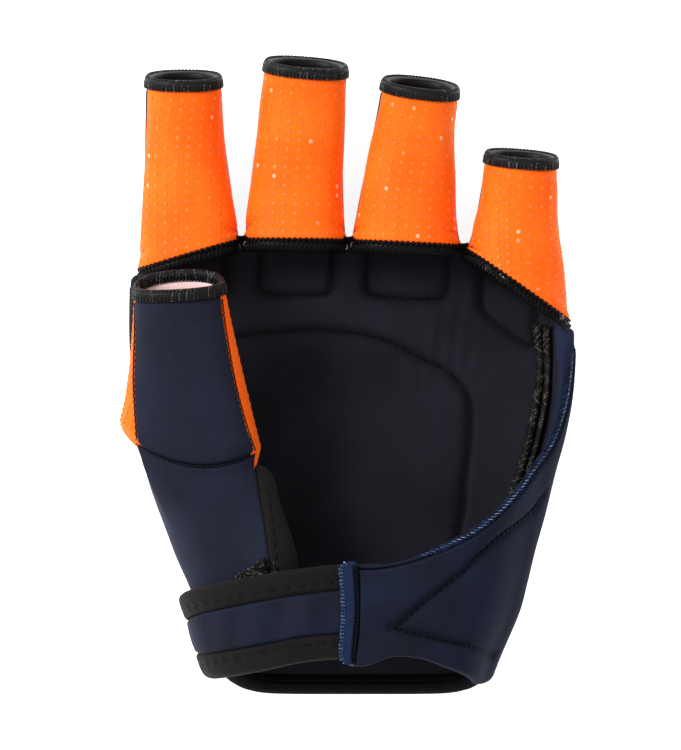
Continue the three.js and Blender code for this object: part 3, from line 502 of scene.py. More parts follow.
# A stitch: one thread that rises out of the cloth and dips back in.
stitch, given = new_tree("stitch", ("Length", "Rise", "Thread"))
half = maths(stitch, "MULTIPLY", given.outputs["Length"], 0.5)
back_half = maths(stitch, "MULTIPLY", given.outputs["Length"], -0.5)
sunk = maths(stitch, "MULTIPLY", given.outputs["Rise"], -1.0)
arch = node(stitch, "GeometryNodeCurveQuadraticBezier", {
    "Resolution": 5, "Start": point_of(stitch, back_half, 0.0, sunk),
    "Middle": point_of(stitch, 0.0, 0.0, given.outputs["Rise"]),
    "End": point_of(stitch, half, 0.0, sunk)})
set_on_places(stitch, given, thread_along(stitch, arch.outputs[0], given.outputs["Thread"]))


def sewn(name, tree, finish, places, runs, ups, seed=1, **sizes):
    """Runs a thread tree on the places and keeps the result as a plain mesh."""
    mesh = bpy.data.meshes.new(name)
    mesh.from_pydata((np.asarray(places, float) / 1000).tolist(), [], [])
    for label, directions in (("run", runs), ("up", ups)):
        kept = mesh.attributes.new(label, "FLOAT_VECTOR", "POINT")
        kept.data.foreach_set("vector", np.asarray(directions, float).ravel())
    piece = bpy.data.objects.new(name, mesh)
    bpy.context.scene.collection.objects.link(piece)
    rows = piece.modifiers.new("rows", "NODES")
    rows.node_group = tree
    wanted = {size.replace("_", " ").capitalize(): value / 1000
              for size, value in sizes.items()}
    wanted.update(Seed=seed, Finish=finish)
    for socket in tree.interface.items_tree:
        if socket.in_out == "INPUT" and socket.name in wanted:
            rows[socket.identifier] = wanted[socket.name]
    piece.data = bpy.data.meshes.new_from_object(
        piece.evaluated_get(bpy.context.evaluated_depsgraph_get()))
    piece.modifiers.clear()
    for label in ("run", "up"):
        if label in piece.data.attributes:
            piece.data.attributes.remove(piece.data.attributes[label])
    return piece


def every(pitch, line, ends=(0.0, 1.0)):
    """Shares along a line, about pitch mm apart."""
    t = np.linspace(*ends, 500)
    run = np.linalg.norm(np.diff(line(t, 0.0), axis=0), axis=1).cumsum()
    run = np.concatenate([[0], run])
    count = max(2, round(run[-1] / pitch))
    return np.interp((np.arange(count) + 0.5) * run[-1] / count, run, t)


def unit(vectors):
    return vectors / np.maximum(np.linalg.norm(vectors, axis=-1, keepdims=True), 1e-9)


def places_on(line, pitch, ends=(0.0, 1.0), zigzag=0.0, lift=0.0, lean=0.0):
    """Places, runs and ups of stitches on a line. line(t, lift) gives its points that far off
    the cloth. A zigzag row swings that far to each side; a leaning one turns in degrees."""
    t = every(pitch, line, ends)
    step = 1e-3 * (ends[1] - ends[0])
    run = unit(line(t + step, 0.0) - line(t - step, 0.0))
    up = line(t, 1.0) - line(t, 0.0)
    up = unit(up - run * (run * up).sum(-1, keepdims=True))
    across = np.cross(up, run)
    if zigzag:
        swing = np.where(np.arange(len(t)) % 2, 1, -1)[:, None] * 2 * zigzag / pitch
        run = unit(run + across * swing)
    if lean:
        run = unit(run * math.cos(math.radians(lean)) + across * math.sin(math.radians(lean)))
    return line(t, lift), run, up


def on_lining(x, y, lift=0.0):
    """A point of the back's inner face at a place in plan, lifted straight off it."""
    inner = hand(girth_at(x, y, False, BACK_WALL), y, BACK_WALL)
    return np.stack([x + 0 * y, y + 0 * x, inner[..., 2] + lift], -1)


def together(rows):
    """The places, runs and ups of several rows."""
    return [np.concatenate(parts) for parts in zip(*rows)]


def plan_line(plan, sink):
    """A line along plan on the lining, sunk that far in its channel."""
    shares = np.linspace(0, 1, len(plan))

    def line(t, lift):
        x, y = (np.interp(t, shares, plan[:, k]) for k in (0, 1))
        return on_lining(x, y, lift - sink)
    return line


# Bonded polyester sewing thread: dark with a slight gloss. Glints where its filaments catch the
# light are painted into its colour as short paler specks, more on some stitches than on others.
def thread_finish(name, dark, pale, specks, gloss=0.1):
    material, tree, shader = finish_of(name, Roughness=0.5, Specular_IOR_Level=gloss)
    shade = node(tree, "ShaderNodeAttribute", attribute_name="shade")
    where = node(tree, "ShaderNodeTexCoord")
    fibre = node(tree, "ShaderNodeTexNoise", {"Vector": where.outputs["Object"],
                                              "Scale": 4200.0, "Detail": 2.0})
    # Painted glints: where the stitch's chance shade and the fibre noise run high, the pale colour
    # is mixed in.
    lit = maths(tree, "MULTIPLY_ADD", shade.outputs["Fac"], 0.35, fibre.outputs["Fac"])
    painted_glint = node(tree, "ShaderNodeMapRange", {"Value": lit, "From Min": 1.02 - specks,
                                              "From Max": 1.08 - specks})
    colour = mixed(tree, painted_glint.outputs[0], linear(dark), linear(pale))
    twist = node(tree, "ShaderNodeBump", {"Height": fibre.outputs["Fac"], "Strength": 0.6,
                                          "Distance": 0.00006})
    tree.links.new(colour, shader.inputs["Base Color"])
    tree.links.new(twist.outputs["Normal"], shader.inputs["Normal"])
    return material


black_thread = thread_finish("bonded_black_thread", "#020203", "#0d0d10", 0.1)
rows = [places_on(plan_line(plan, CHANNEL_DEPTH - 0.35), 2.2) for plan in
        (np.vstack([big_pad, big_pad[:1]]), *knuckle_pads)]
quilt_thread = sewn("channel_stitches", stitch, black_thread, *together(rows), length=1.8,
                    rise=0.2, thread=0.2)
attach(quilt_thread, "root")

# The cuff hem. A 10 mm knitted tape folded over the back's lower edge and topstitched, warm
# black beside the cool navy. It turns up at the two corners with the back.

TAPE_PROUD = 0.35


def cuff_skin(u, v, depth):
    share = mix(-1, 1, u)
    return hand(share, cuff_y(share) + (CUFF_BINDING_WIDTH + SEAM_GAP + 0.2) * v,
                depth - TAPE_PROUD)


def cuff_line(t, lift):
    return cuff_skin(t, 0.72, BACK_WALL + 2 * TAPE_PROUD + lift)


cuff = cloth("cuff_tape", cuff_skin, (150, 5.3), BACK_WALL + 2 * TAPE_PROUD, (150, 8))

# Knitted polyester tape dyed a full black, its fine ribs 0.6 mm apart, matt.
cuff_tape, tree, shader = finish_of("black_cuff_tape", Roughness=0.9, Specular_IOR_Level=0.12)
knit(tree, shader, ("#060606", "#0b0b0a"), 0.7, 0.6, 0.06, nap_share=0.4)
cuff.data.materials.append(cuff_tape)
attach(cuff, "root")
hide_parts("cuff_binding")
tape_thread = thread_finish("black_topstitch_thread", "#020202", "#0c0b0a", 0.1)
cuff_stitches = sewn("cuff_topstitch", stitch, tape_thread,
                     *places_on(cuff_line, 2.6, (0.03, 0.97), lift=0.02),
                     length=2.0, rise=0.16, thread=0.17)
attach(cuff_stitches, "root")

# The back's open edge on the thumb side. Overlock thread wraps the foam sandwich there, where
# the web of the hand leaves it free; in plan it is the black line left of the thumb.

SIDE_EDGE = (0.4, 0.64)
EDGE_HEIGHT = 1.4


def side_line(t, lift):
    y = y_at(mix(*SIDE_EDGE, t))
    middle = (hand(-1.0, y, 0.0) + hand(-1.0, y, BACK_WALL)) / 2
    return middle + np.array([0, 0, SEAM_GAP + lift])


def side_skin(u, v, depth):
    """The overlocked edge as a low arch over the foam, closed by its own thickness."""
    y = y_at(mix(*SIDE_EDGE, v))
    middle = (hand(-1.0, y, 0.0) + hand(-1.0, y, BACK_WALL)) / 2
    turn = np.pi * (1 - u)
    across = (BACK_WALL / 2 - depth) * np.cos(turn)
    up = SEAM_GAP + (EDGE_HEIGHT - depth) * np.sin(turn)
    return middle + np.stack([across, 0 * across, up], -1)


side = cloth("side_overlock", side_skin, (6.5, 41), 0.7, (16, 60))
overlock_black = thread_finish("black_overlock_thread", "#040404", "#757070", 0.15, gloss=0.2)
side.data.materials.append(overlock_black)
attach(side, "root")
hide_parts("side_binding")

# An overlock loop: one thread up the front of an edge, over it and down behind, leaning a
# little along the edge.
overlock, given = new_tree("overlock", ("Reach", "Half wall", "Over", "Lean", "Thread"))
down = maths(overlock, "MULTIPLY", given.outputs["Reach"], -1.0)
behind = maths(overlock, "MULTIPLY", given.outputs["Half wall"], -1.0)
lean = maths(overlock, "MULTIPLY", given.outputs["Lean"], 0.5)
lean_back = maths(overlock, "MULTIPLY", given.outputs["Lean"], -0.5)
loop = node(overlock, "GeometryNodeCurvePrimitiveBezierSegment", {
    "Resolution": 7,
    "Start": point_of(overlock, lean_back, given.outputs["Half wall"], down),
    "Start Handle": point_of(overlock, lean_back, given.outputs["Half wall"],
                             given.outputs["Over"]),
    "End Handle": point_of(overlock, lean, behind, given.outputs["Over"]),
    "End": point_of(overlock, lean, behind, down)})
set_on_places(overlock, given, thread_along(overlock, loop.outputs[0],
                                            given.outputs["Thread"]))


def over_edge(name, finish, line, pitch, wall, reach, ends=(0.0, 1.0), lean=0.5, thread=0.3,
              rise=0.25, seed=1):
    """Overlock loops along an edge. line(t, lift) runs along the middle of the edge."""
    over = (rise + reach / 4) / 0.75
    return sewn(name, overlock, finish, *places_on(line, pitch, ends), seed=seed,
                half_wall=wall / 2, over=over, reach=reach, lean=lean, thread=thread)


side_loops = over_edge("side_overlock_loops", overlock_black, side_line, 0.95, BACK_WALL - 0.4,
                       1.2, thread=0.34, rise=EDGE_HEIGHT + 0.1, seed=4)
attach(side_loops, "root")

# The four finger sleeves. Each is orange grip cloth on the palm side, sewn down both sides to
# a padded navy back, with an overlocked elastic rim round the open tip and a black overlocked
# hem where the grip cloth ends at the palm.

FINGER_BACK_WALL = 3.4
GRIP_WALL = 1.3
FINGER_LENGTH = 45.8
TIP_WIDTH = 22.4
TIP_DEPTH = 17.6
FINGER_DEPTH = 23.0
FINGER_SPACE = 1.4
RIM_HEIGHT = 2.7
RIM_OVERHANG = 0.35
RIM_WALL = 1.25
PADDED_RIM = 3.1
HEM_HEIGHT = 2.6
SLEEVE_POWER = 2 / 2.3
# Length, width, depth and lean are shares of the longest sleeve and the widest tip; yaw, tilt
# and roll, which is how far the seam turns to the palm side at the tip, are degrees.
FINGERS = {
    "index": {"length": 1, "lean": -0.054, "width": 0.91, "depth": 0.98, "yaw": 0, "tilt": 13.5,
              "roll": 20},
    "middle": {"length": 0.987, "lean": 0.125, "width": 1, "depth": 1, "yaw": 4.7, "tilt": 13.5,
               "roll": 0},
    "ring": {"length": 0.89, "lean": 0.161, "width": 0.93, "depth": 0.98, "yaw": 7,
             "tilt": 14.5, "roll": 14},
    "little": {"length": 0.712, "lean": 0.036, "width": 0.875, "depth": 0.91, "yaw": 4.5,
               "tilt": 11.5, "roll": 0},
}


def axis_of(yaw, tilt):
    a, b = math.radians(yaw), math.radians(tilt)
    return np.array([math.sin(a) * math.cos(b), math.cos(a) * math.cos(b), math.sin(b)])


def sleeve_point(sleeve, v, angle, depth=0.0):
    """Points of a sleeve. v: 0 at its base, 1 at its open tip, and on; angle: 0 little-finger
    side, a quarter turn palm side; depth: in from its outer skin."""
    v, angle, depth = np.broadcast_arrays(*(np.asarray(a, float) for a in (v, angle, depth)))
    flat = np.clip(v, 0, 1)
    t = flat[..., None]
    base, length = sleeve["base"], sleeve["length"]
    tip_axis, base_axis = axis_of(sleeve["yaw"], sleeve["tilt"]), axis_of(0, sleeve["base_tilt"])
    middle = axis_of(0, (sleeve["base_tilt"] + sleeve["tilt"]) / 2)
    tip = base + middle * length + np.array([sleeve["lean"], 0, 0])
    near, far = base + base_axis * length / 3, tip - tip_axis * length / 3
    centre = ((1 - t) ** 3 * base + 3 * (1 - t) ** 2 * t * near + 3 * (1 - t) * t * t * far
              + t ** 3 * tip + tip_axis * (v - flat)[..., None] * length)
    yaw = -np.radians(sleeve["yaw"]) * smooth(flat)
    tilt = np.radians(sleeve["tilt"]) * smooth(flat)
    nil = 0 * yaw
    across = np.stack([np.cos(yaw), np.sin(yaw), nil], -1)
    ahead = np.stack([-np.sin(yaw), np.cos(yaw), nil], -1)
    palmward = np.stack([nil, nil, np.cos(tilt)], -1) - ahead * np.sin(tilt)[..., None]
    taper = (1 - flat) ** sleeve["flare"]
    wide, deep = (mix(sleeve["tip_half"][k], sleeve["base_half"][k], taper) - depth
                  for k in (0, 1))
    c, s = np.cos(angle), np.sin(angle)
    point = (centre + across * (wide * np.sign(c) * np.abs(c) ** SLEEVE_POWER)[..., None]
             + palmward * (deep * np.sign(s) * np.abs(s) ** SLEEVE_POWER)[..., None])
    point[..., 1] += (sleeve["edge_y"](point[..., 0]) - base[1]) * (1 - flat) ** 2
    return point


def finger_sleeve(name, i):
    finger = FINGERS[name]
    low, high = (KNUCKLES["across"][k] * KNUCKLE_WIDTH for k in (i, i + 1))
    middle = (low + high) / 2
    turn = math.radians(finger["roll"])
    return {
        "base": np.array([middle, knuckle_y(middle) + SEAM_GAP, FINGER_DEPTH / 2 + 0.5]),
        "base_tilt": 2,
        "base_half": ((high - low - FINGER_SPACE) / 2, FINGER_DEPTH / 2),
        "tip_half": (finger["width"] * TIP_WIDTH / 2, finger["depth"] * TIP_DEPTH / 2),
        "length": finger["length"] * FINGER_LENGTH,
        "lean": finger["lean"] * TIP_WIDTH,
        "yaw": finger["yaw"],
        "tilt": finger["tilt"],
        "flare": 1.5,
        "edge_y": lambda x: knuckle_y(x) + SEAM_GAP,
        "seams": lambda v: (math.pi - turn * v ** 3, -turn * v ** 3),
        "slit": -SEWN_LAP / (finger["depth"] * TIP_DEPTH),
    }


def face_of(sleeve, palm, low=0.0, high=1.0):
    """The skin of a sleeve's palm face or of its other face."""
    def skin(u, v, depth):
        along = mix(low, high, v)
        left, right = sleeve["seams"](along)
        gap = sleeve["slit"] / 2
        if palm:
            return sleeve_point(sleeve, along, mix(left - gap, right + gap, u), depth)
        return sleeve_point(sleeve, along, mix(left + gap, right + 2 * math.pi - gap, u), depth)
    return skin


def ring(name, skin, turns, around, size):
    """A closed band. skin(turn, section) gives its points, both going full circle."""
    a, b = np.meshgrid(np.arange(turns) * 2 * np.pi / turns, np.arange(around) * 2 * np.pi
                       / around, indexing="ij")
    points = skin(a, b)
    at = np.arange(a.size).reshape(a.shape)
    ahead, beside = np.roll(at, -1, 0), np.roll(at, -1, 1)
    quads = np.stack([at, ahead, np.roll(ahead, -1, 1), beside], -1).reshape(-1, 4)
    lay = np.stack([a * size[0] / (2 * np.pi), b * size[1] / (2 * np.pi)], -1)
    return mesh_of(name, points.reshape(-1, 3), quads, lay.reshape(-1, 2))


# Warp-knit grip cloth of polyester and elastane: saturated orange, satin, its loops drawn
# 0.8 mm apart. Light goes a little way into the thin cloth and comes back redder.
orange, tree, shader = finish_of("orange_grip_knit", Roughness=0.6, Specular_IOR_Level=0.1,
                                 Sheen_Weight=0.35, Sheen_Roughness=0.35,
                                 Sheen_Tint=linear("#ffa552"), Subsurface_Weight=0.12,
                                 Subsurface_Scale=0.0012)
shader.inputs["Subsurface Radius"].default_value = (1.0, 0.3, 0.05)
knit(tree, shader, ("#ff5e0d", "#ff6d13"), 0.8, 0.8, 0.014, nap_share=0.25)

# The bare back of the grip cloth, pale pink foam, shows inside the thumb.
pink, tree, shader = finish_of("pink_foam_backing", Roughness=0.9, Specular_IOR_Level=0.25)
knit(tree, shader, ("#ffd0cf", "#ffdfdc"), 0.7, 0.7, 0.02, nap_share=0.5)

# Moulded silicone dots, clear enough to look only a little lighter than the cloth; on a few
# the highlights they catch are painted in as a far paler colour.
silicone, tree, shader = finish_of("silicone_dots", Roughness=0.45, Specular_IOR_Level=0.2)
shade = node(tree, "ShaderNodeAttribute", attribute_name="shade")
dot_tone_and_glint = node(tree, "ShaderNodeValToRGB", {"Fac": shade.outputs["Fac"]})
dot_tone_and_glint.color_ramp.elements[0].color = linear("#ff6116")
dot_tone_and_glint.color_ramp.elements[1].position = 0.95
dot_tone_and_glint.color_ramp.elements[1].color = linear("#ff742c")
# Painted highlights: the few dots at the ramp's top end.
painted_glint_stop = dot_tone_and_glint.color_ramp.elements.new(0.985)
painted_glint_stop.color = linear("#ffab86")
tree.links.new(dot_tone_and_glint.outputs["Color"], shader.inputs["Base Color"])

# A dot: a flattened dome half sunk in the cloth.
dot, given = new_tree("grip_dot", ("Radius", "Height"))
ball = node(dot, "GeometryNodeMeshUVSphere", {"Segments": 10, "Rings": 6, "Radius": 1.0})
dome = node(dot, "GeometryNodeTransform", {
    "Geometry": ball.outputs[0],
    "Scale": point_of(dot, given.outputs["Radius"], given.outputs["Radius"],
                      given.outputs["Height"])})
set_on_places(dot, given, dome.outputs[0])

# Padded navy cloth of the finger backs and the thumb: smooth sponge-backed knit, matt.
navy, tree, shader = finish_of("navy_sponge_knit", Roughness=0.85, Specular_IOR_Level=0.12,
                               Sheen_Weight=0.1, Sheen_Roughness=0.5,
                               Sheen_Tint=linear("#8f9bc4"))
knit(tree, shader, ("#161924", "#1c1f2f"), 0.7, 0.7, 0.014, nap_share=0.5)

DOT_ACROSS = 3.1
DOT_ALONG = 2.6
DOT_RADIUS = 0.62
DOT_HEIGHT = 0.1


def dots_on(name, sleeve, palm, seed, folds=None):
    """A square lattice of dots on a sleeve's face, centred on it and riding on its folds."""
    places, ups, runs = [], [], []
    for row in range(int(sleeve["length"] / DOT_ALONG)):
        v = (row + 0.7) * DOT_ALONG / sleeve["length"]
        left, right = sleeve["seams"](v)
        start, end = (left, right) if palm else (left, right + 2 * math.pi)
        share = np.linspace(0.02, 0.98, 240)
        skin = sleeve_point(sleeve, v, mix(start, end, share))
        run = np.concatenate([[0], np.linalg.norm(np.diff(skin, axis=0), axis=1).cumsum()])
        middle = run[-1] / 2
        side = int((middle - 0.9) / DOT_ACROSS)
        u = np.interp(middle + DOT_ACROSS * np.arange(-side, side + 1), run, share)
        lift = folds(u, v + 0 * u)[0] if folds else 0 * u
        angle = mix(start, end, u)
        here = sleeve_point(sleeve, v, angle, -lift - 0.01)
        places.append(here)
        ups.append(unit(here - sleeve_point(sleeve, v, angle, 0.6)))
        runs.append(unit(sleeve_point(sleeve, v + 0.01, angle) - sleeve_point(sleeve, v, angle)))
    return sewn(name, dot, silicone, *map(np.concatenate, (places, runs, ups)), seed=seed,
                radius=DOT_RADIUS, height=DOT_HEIGHT)


def rim_of(name, sleeve, padded_side, raised=(0.0, 0.0)):
    """The elastic band round a sleeve's open tip, and the threads braided over it. It is as
    thick as the cloth it binds and laps over the padded side's end. Its palm side and its
    other side are raised that many mm, with the cloth they bind."""
    thick = RIM_OVERHANG + RIM_WALL

    def rise_of(turn):
        return raised[0] * np.maximum(0, np.sin(turn)) - raised[1] * np.minimum(0, np.sin(turn))

    def band(turn, section):
        c, s = np.cos(section), np.sin(section)
        padded = smooth(padded_side * np.sin(turn) + 0.5)
        low = SEAM_GAP - 0.05 - 0.6 * padded
        share = 0.5 + 0.5 * np.sign(s) * np.abs(s) ** 0.5
        v = 1 + (rise_of(turn) + mix(low, RIM_HEIGHT, share)) / sleeve["length"]
        wall = thick + (PADDED_RIM - RIM_WALL) * padded
        return sleeve_point(sleeve, v, turn, wall / 2 * (1 + np.sign(c) * np.abs(c) ** 0.5)
                            - RIM_OVERHANG)

    def edge(t, lift):
        turn = 2 * np.pi * t
        v = 1 + (rise_of(turn) + RIM_HEIGHT - 0.25 + lift) / sleeve["length"]
        return sleeve_point(sleeve, v, turn, (thick - RIM_OVERHANG) / 2 - 0.1)
    core = ring(name + "_rim_band", band, 110, 16, (62, 9))
    core.data.materials.append(overlock_black)
    braid = [over_edge(name + side, overlock_black, edge, 0.95, thick + 0.2, RIM_HEIGHT - 0.2,
                       lean=lean, thread=0.22, rise=0.5, seed=len(name) + order)
             for order, (side, lean) in enumerate((("_rim_braid", 1.9),
                                                   ("_rim_cross_braid", -1.9)))]
    return [core, *braid]


hem_thread = thread_finish("hem_overlock_thread", "#030303", "#1d1c1e", 0.12)
# Loose ends of the light thread that once tacked the hems show as pale pink bits. TACKS says
# where along each hem.
pink_thread = thread_finish("pink_tacking_thread", "#3a2c2f", "#c9a6a8", 0.3)
TACKS = {"index": (0.965,), "middle": (0.03, 0.965), "ring": (0.02,),
         "little": (0.3, 0.42, 0.8, 0.86)}
sleeves = {name: finger_sleeve(name, i) for i, name in enumerate(FINGERS)}
for order, (name, sleeve) in enumerate(sleeves.items()):
    length = sleeve["length"]

    def soft_folds(u, v, order=order):
        """Shallow folds where the cloth is gathered at the two corners of the base."""
        corner = np.exp(-((u - 0.1) / 0.1) ** 2) + np.exp(-((u - 0.9) / 0.1) ** 2)
        line = v - 0.06 - 0.15 * np.minimum(u, 1 - u)
        pinch = corner * (0.35 * np.exp(-((line + 0.045) / 0.03) ** 2)
                          - 0.8 * np.exp(-(line / 0.022) ** 2))
        sag = 0.22 * np.sin(2 * np.pi * (u * 1.3 + v * (0.9 + 0.3 * order)) + order)
        ease = smooth(v / 0.2) * smooth((1 - v) / 0.2)
        return pinch + sag * ease, 0 * u

    grip = cloth(name + "_grip_cloth", face_of(sleeve, True), (34, length), GRIP_WALL,
                 (64, 84), soft_folds)
    grip.data.materials.append(orange)
    dots = dots_on(name + "_grip_dots", sleeve, True, order + 1, soft_folds)
    padded = cloth(name + "_padded_back", face_of(sleeve, False), (38, length),
                   FINGER_BACK_WALL, (64, 70))
    padded.data.materials.append(navy)
    rim = rim_of(name, sleeve, -1)

    def hem_skin(u, v, depth, sleeve=sleeve):
        point = sleeve_point(sleeve, 0.0, mix(0.94, 0.06, u) * math.pi, depth)
        point[..., 1] -= 0.12 + (HEM_HEIGHT + 0.6) * v
        return point

    def hem_line(t, lift, sleeve=sleeve, drop=0.0):
        point = sleeve_point(sleeve, 0.0, mix(0.95, 0.05, t) * math.pi, -lift)
        point[..., 1] -= drop
        return point

    hem = cloth(name + "_hem", hem_skin, (32, HEM_HEIGHT), GRIP_WALL * 1.5, (60, 8))
    hem.data.materials.append(hem_thread)
    teeth = sewn(name + "_hem_teeth", stitch, hem_thread,
                 *places_on(lambda t, lift: hem_line(t, lift, drop=0.3), 0.75, zigzag=0.5,
                            lift=0.1), seed=order + 11, length=1.4, rise=0.14, thread=0.27)
    wraps = sewn(name + "_hem_wraps", stitch, hem_thread,
                 *places_on(lambda t, lift: hem_line(t, lift, drop=1.95), 0.62, zigzag=0.75,
                            lift=0.1), seed=order + 21, length=1.9, rise=0.2, thread=0.26)
    at = (np.array(TACKS[name])[:, None] + np.array([-0.018, 0, 0.016])).ravel()
    ends = hem_line(at, 0.5) - np.array([0, 1.4, 0]) + 0.5 * np.sin(
        9 * at[:, None] * np.arange(1, 4))
    tacks = sewn(name + "_hem_tacks", stitch, pink_thread, ends,
                 unit(np.stack([np.sin(40 * at), np.cos(31 * at), 0.3 + 0 * at], -1)),
                 hem_line(at, 1.0) - hem_line(at, 0.0), seed=order + 31, length=1.5,
                 rise=0.3, thread=0.09)
    for piece in (grip, dots, padded, *rim, hem, teeth, wraps, tacks):
        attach(piece, "root")
    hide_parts(name + "_grip")
    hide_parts(name + "_back")
    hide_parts(name + "_rim")
    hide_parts(name + "_hem")

# The crotch bars. Where two fingers meet, a short bar of the hem's thread is sewn in a close
# zigzag over the ends of both hems and holds them together.

for one, other in zip(list(FINGERS), list(FINGERS)[1:]):
    left = sleeve_point(sleeves[one], 0.0, np.radians([2.0, 14.0]))
    right = sleeve_point(sleeves[other], 0.0, np.radians([178.0, 166.0]))

    def bar(t, lift, left=left, right=right):
        across = mix(left[0], right[0], 0.5) + np.array([0, 1.3, 5.0]) * (1 - 2 * t[:, None])
        return across + np.array([0, -0.6, 0.6 + lift])
    tied = sewn(one + "_crotch_bar", stitch, hem_thread, *places_on(bar, 0.42, zigzag=1.1),
                seed=41, length=2.6, rise=0.2, thread=0.27)
    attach(tied, "root")

# The thumb sleeve. It is sewn as the fingers are, but lies over the palm with its navy side to
# the viewer and its orange grip cloth behind, which peeps out along both seams.

CLOTH_WALL = 2.5
THUMB_LENGTH = 46.4
THUMB_BASE = (38.5, 23)
THUMB_TIP = (24.4, 18.6)
# The two sides run this much further at the tip's middle than at the seams.
THUMB_RAISED = (0.8, 1.5)
THUMB_SEAMS = {"along": (0, 0.25, 0.5, 0.8, 1), "left": (0.72, 0.82, 0.91, 0.96, 0.99),
               "right": (0.93, 0.88, 0.86, 0.89, 0.93)}
thumb_base = np.array([-0.351 * KNUCKLE_WIDTH, y_at(0.364), 0.7 * HAND_DEPTH])


def seam_angle(share):
    return np.arcsin(np.sqrt(np.maximum(0, 1 - share ** 2.3)))


thumb = {
    "base": thumb_base,
    "base_tilt": 9,
    "base_half": (THUMB_BASE[0] / 2, THUMB_BASE[1] / 2),
    "tip_half": (THUMB_TIP[0] / 2, THUMB_TIP[1] / 2),
    "length": THUMB_LENGTH,
    "lean": -2.3,
    "yaw": -3.6,
    "tilt": 16,
    "flare": 1.15,
    "edge_y": lambda x: thumb_base[1] + 0.0405 * GLOVE_LENGTH
    * ((x + 0.316 * KNUCKLE_WIDTH) / (THUMB_BASE[0] / 2)) ** 2,
    "seams": lambda v: (math.pi - seam_angle(read(THUMB_SEAMS, "along", "left", v)),
                        seam_angle(read(THUMB_SEAMS, "along", "right", v))),
    "slit": -0.4 * SEWN_LAP / THUMB_TIP[1],
}


def thumb_folds(u, v):
    """The slack sleeve lies a little hollow down its middle and swells over the seam."""
    hollow = -0.45 * np.exp(-((u - 0.62) / 0.2) ** 2) * smooth(v / 0.3) * smooth((1 - v) / 0.3)
    swell = 0.3 * np.exp(-((v - 0.08) / 0.06) ** 2)
    return hollow + swell + 0.15 * np.sin(5 * u + 7 * v), 0 * u


def thumb_navy_skin(u, v, depth):
    further = THUMB_RAISED[0] * np.sin(np.pi * u) * smooth((v - 0.85) / 0.15)
    return face_of(thumb, True)(u, v + further / THUMB_LENGTH, depth)


thumb_navy = cloth("thumb_navy_side", thumb_navy_skin, (34, THUMB_LENGTH), CLOTH_WALL,
                   (70, 84), thumb_folds)
thumb_navy.data.materials.append(navy)


def thumb_tuck(u, v):
    """The orange side is tucked in round its outer base."""
    return -1.9 * np.exp(-((v / 0.05) ** 2)) * smooth((0.35 - u) / 0.3), 0 * u


def thumb_grip_skin(u, v, depth):
    """The thumb's orange side. At its base it is let down a little on the outer side, and on
    the palm's side runs out in a point along the panel."""
    further = THUMB_RAISED[1] * np.sin(np.pi * u) * smooth((v - 0.85) / 0.15)
    point = face_of(thumb, False)(u, v + further / THUMB_LENGTH, depth - thumb_tuck(u, v)[0])
    point[..., 1] -= (1 - v) ** 12 * (1.6 * smooth((0.25 - u) / 0.25)
                                      + 5.6 * np.clip((u - 0.88) / 0.12, 0, 1) ** 2.2)
    return point


thumb_orange = cloth("thumb_grip_side", thumb_grip_skin, (52, THUMB_LENGTH), GRIP_WALL,
                     (90, 84))
thumb_orange.data.materials.append(orange)
thumb_orange.data.materials.append(pink)
columns = len(stations(52, GRIP_WALL / 2, 90)[0]) - 1
inside = np.zeros(len(thumb_orange.data.polygons), int).reshape(2, -1, columns)
inside[1, inside.shape[1] // 2:, 8:-8] = 1
thumb_orange.data.polygons.foreach_set("material_index", inside.ravel())
thumb_dots = dots_on("thumb_grip_dots", thumb, False, 9, thumb_tuck)
thumb_rim = rim_of("thumb", thumb, 1, THUMB_RAISED)


def thumb_seam(side):
    """The seam between the thumb's two faces, on the left or the right."""
    def line(t, lift):
        angle = thumb["seams"](t)[side]
        return sleeve_point(thumb, t, angle, -lift)
    return line


seam_rows = [places_on(thumb_seam(side), 0.85, (0.01, 0.98), zigzag=0.22, lift=0.02)
             for side in (0, 1)]
thumb_seams = sewn("thumb_seam_thread", stitch, hem_thread, *together(seam_rows), seed=17,
                   length=1.1, rise=0.14, thread=0.17)
for piece in (thumb_navy, thumb_orange, thumb_dots, *thumb_rim, thumb_seams):
    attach(piece, "root")
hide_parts("thumb_back")
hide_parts("thumb_grip")
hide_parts("thumb_rim")

# The thumb panel. Navy sponge-backed cloth from the strap up to the thumb's curved seam, where
# its edge is turned under and sewn with dark thread, so that it swells a little.

PANEL_EDGE = {"along": (0.13, 0.22, 0.29, 0.37), "across": (-0.155, -0.172, -0.184, -0.2)}
PANEL_LOW = 0.13
PANEL_FREE = 0.3
WALL_SHARE = 0.28
WALL_DROP = 4.5


def panel_edge_girth(y):
    along = (y - CUFF_Y) / GLOVE_LENGTH
    return girth_at(KNUCKLE_WIDTH * read(PANEL_EDGE, "along", "across", along), y, True)


def panel_skin(u, v, depth):
    u, v, depth = np.broadcast_arrays(*(np.asarray(a, float) for a in (u, v, depth)))
    left, right = (float(a) for a in thumb["seams"](0.0))
    angle = mix(left, right, np.maximum(0, (u - WALL_SHARE) / (1 - WALL_SHARE)))
    seam = sleeve_point(thumb, 0.0, angle, depth)
    climbed = np.minimum(1, u / WALL_SHARE)
    seam[..., 1] -= SEAM_GAP + WALL_DROP * (1 - climbed)
    y = mix(y_at(PANEL_LOW), seam[..., 1], v)
    low = hand(mix(3, panel_edge_girth(y), u), y, depth)
    top = hand(mix(3, panel_edge_girth(seam[..., 1]), u), seam[..., 1], depth)
    share = climbed * smooth((v - PANEL_FREE) / (1 - PANEL_FREE))
    point = low + (seam - top) * share[..., None]
    point[..., 1] = y
    return point


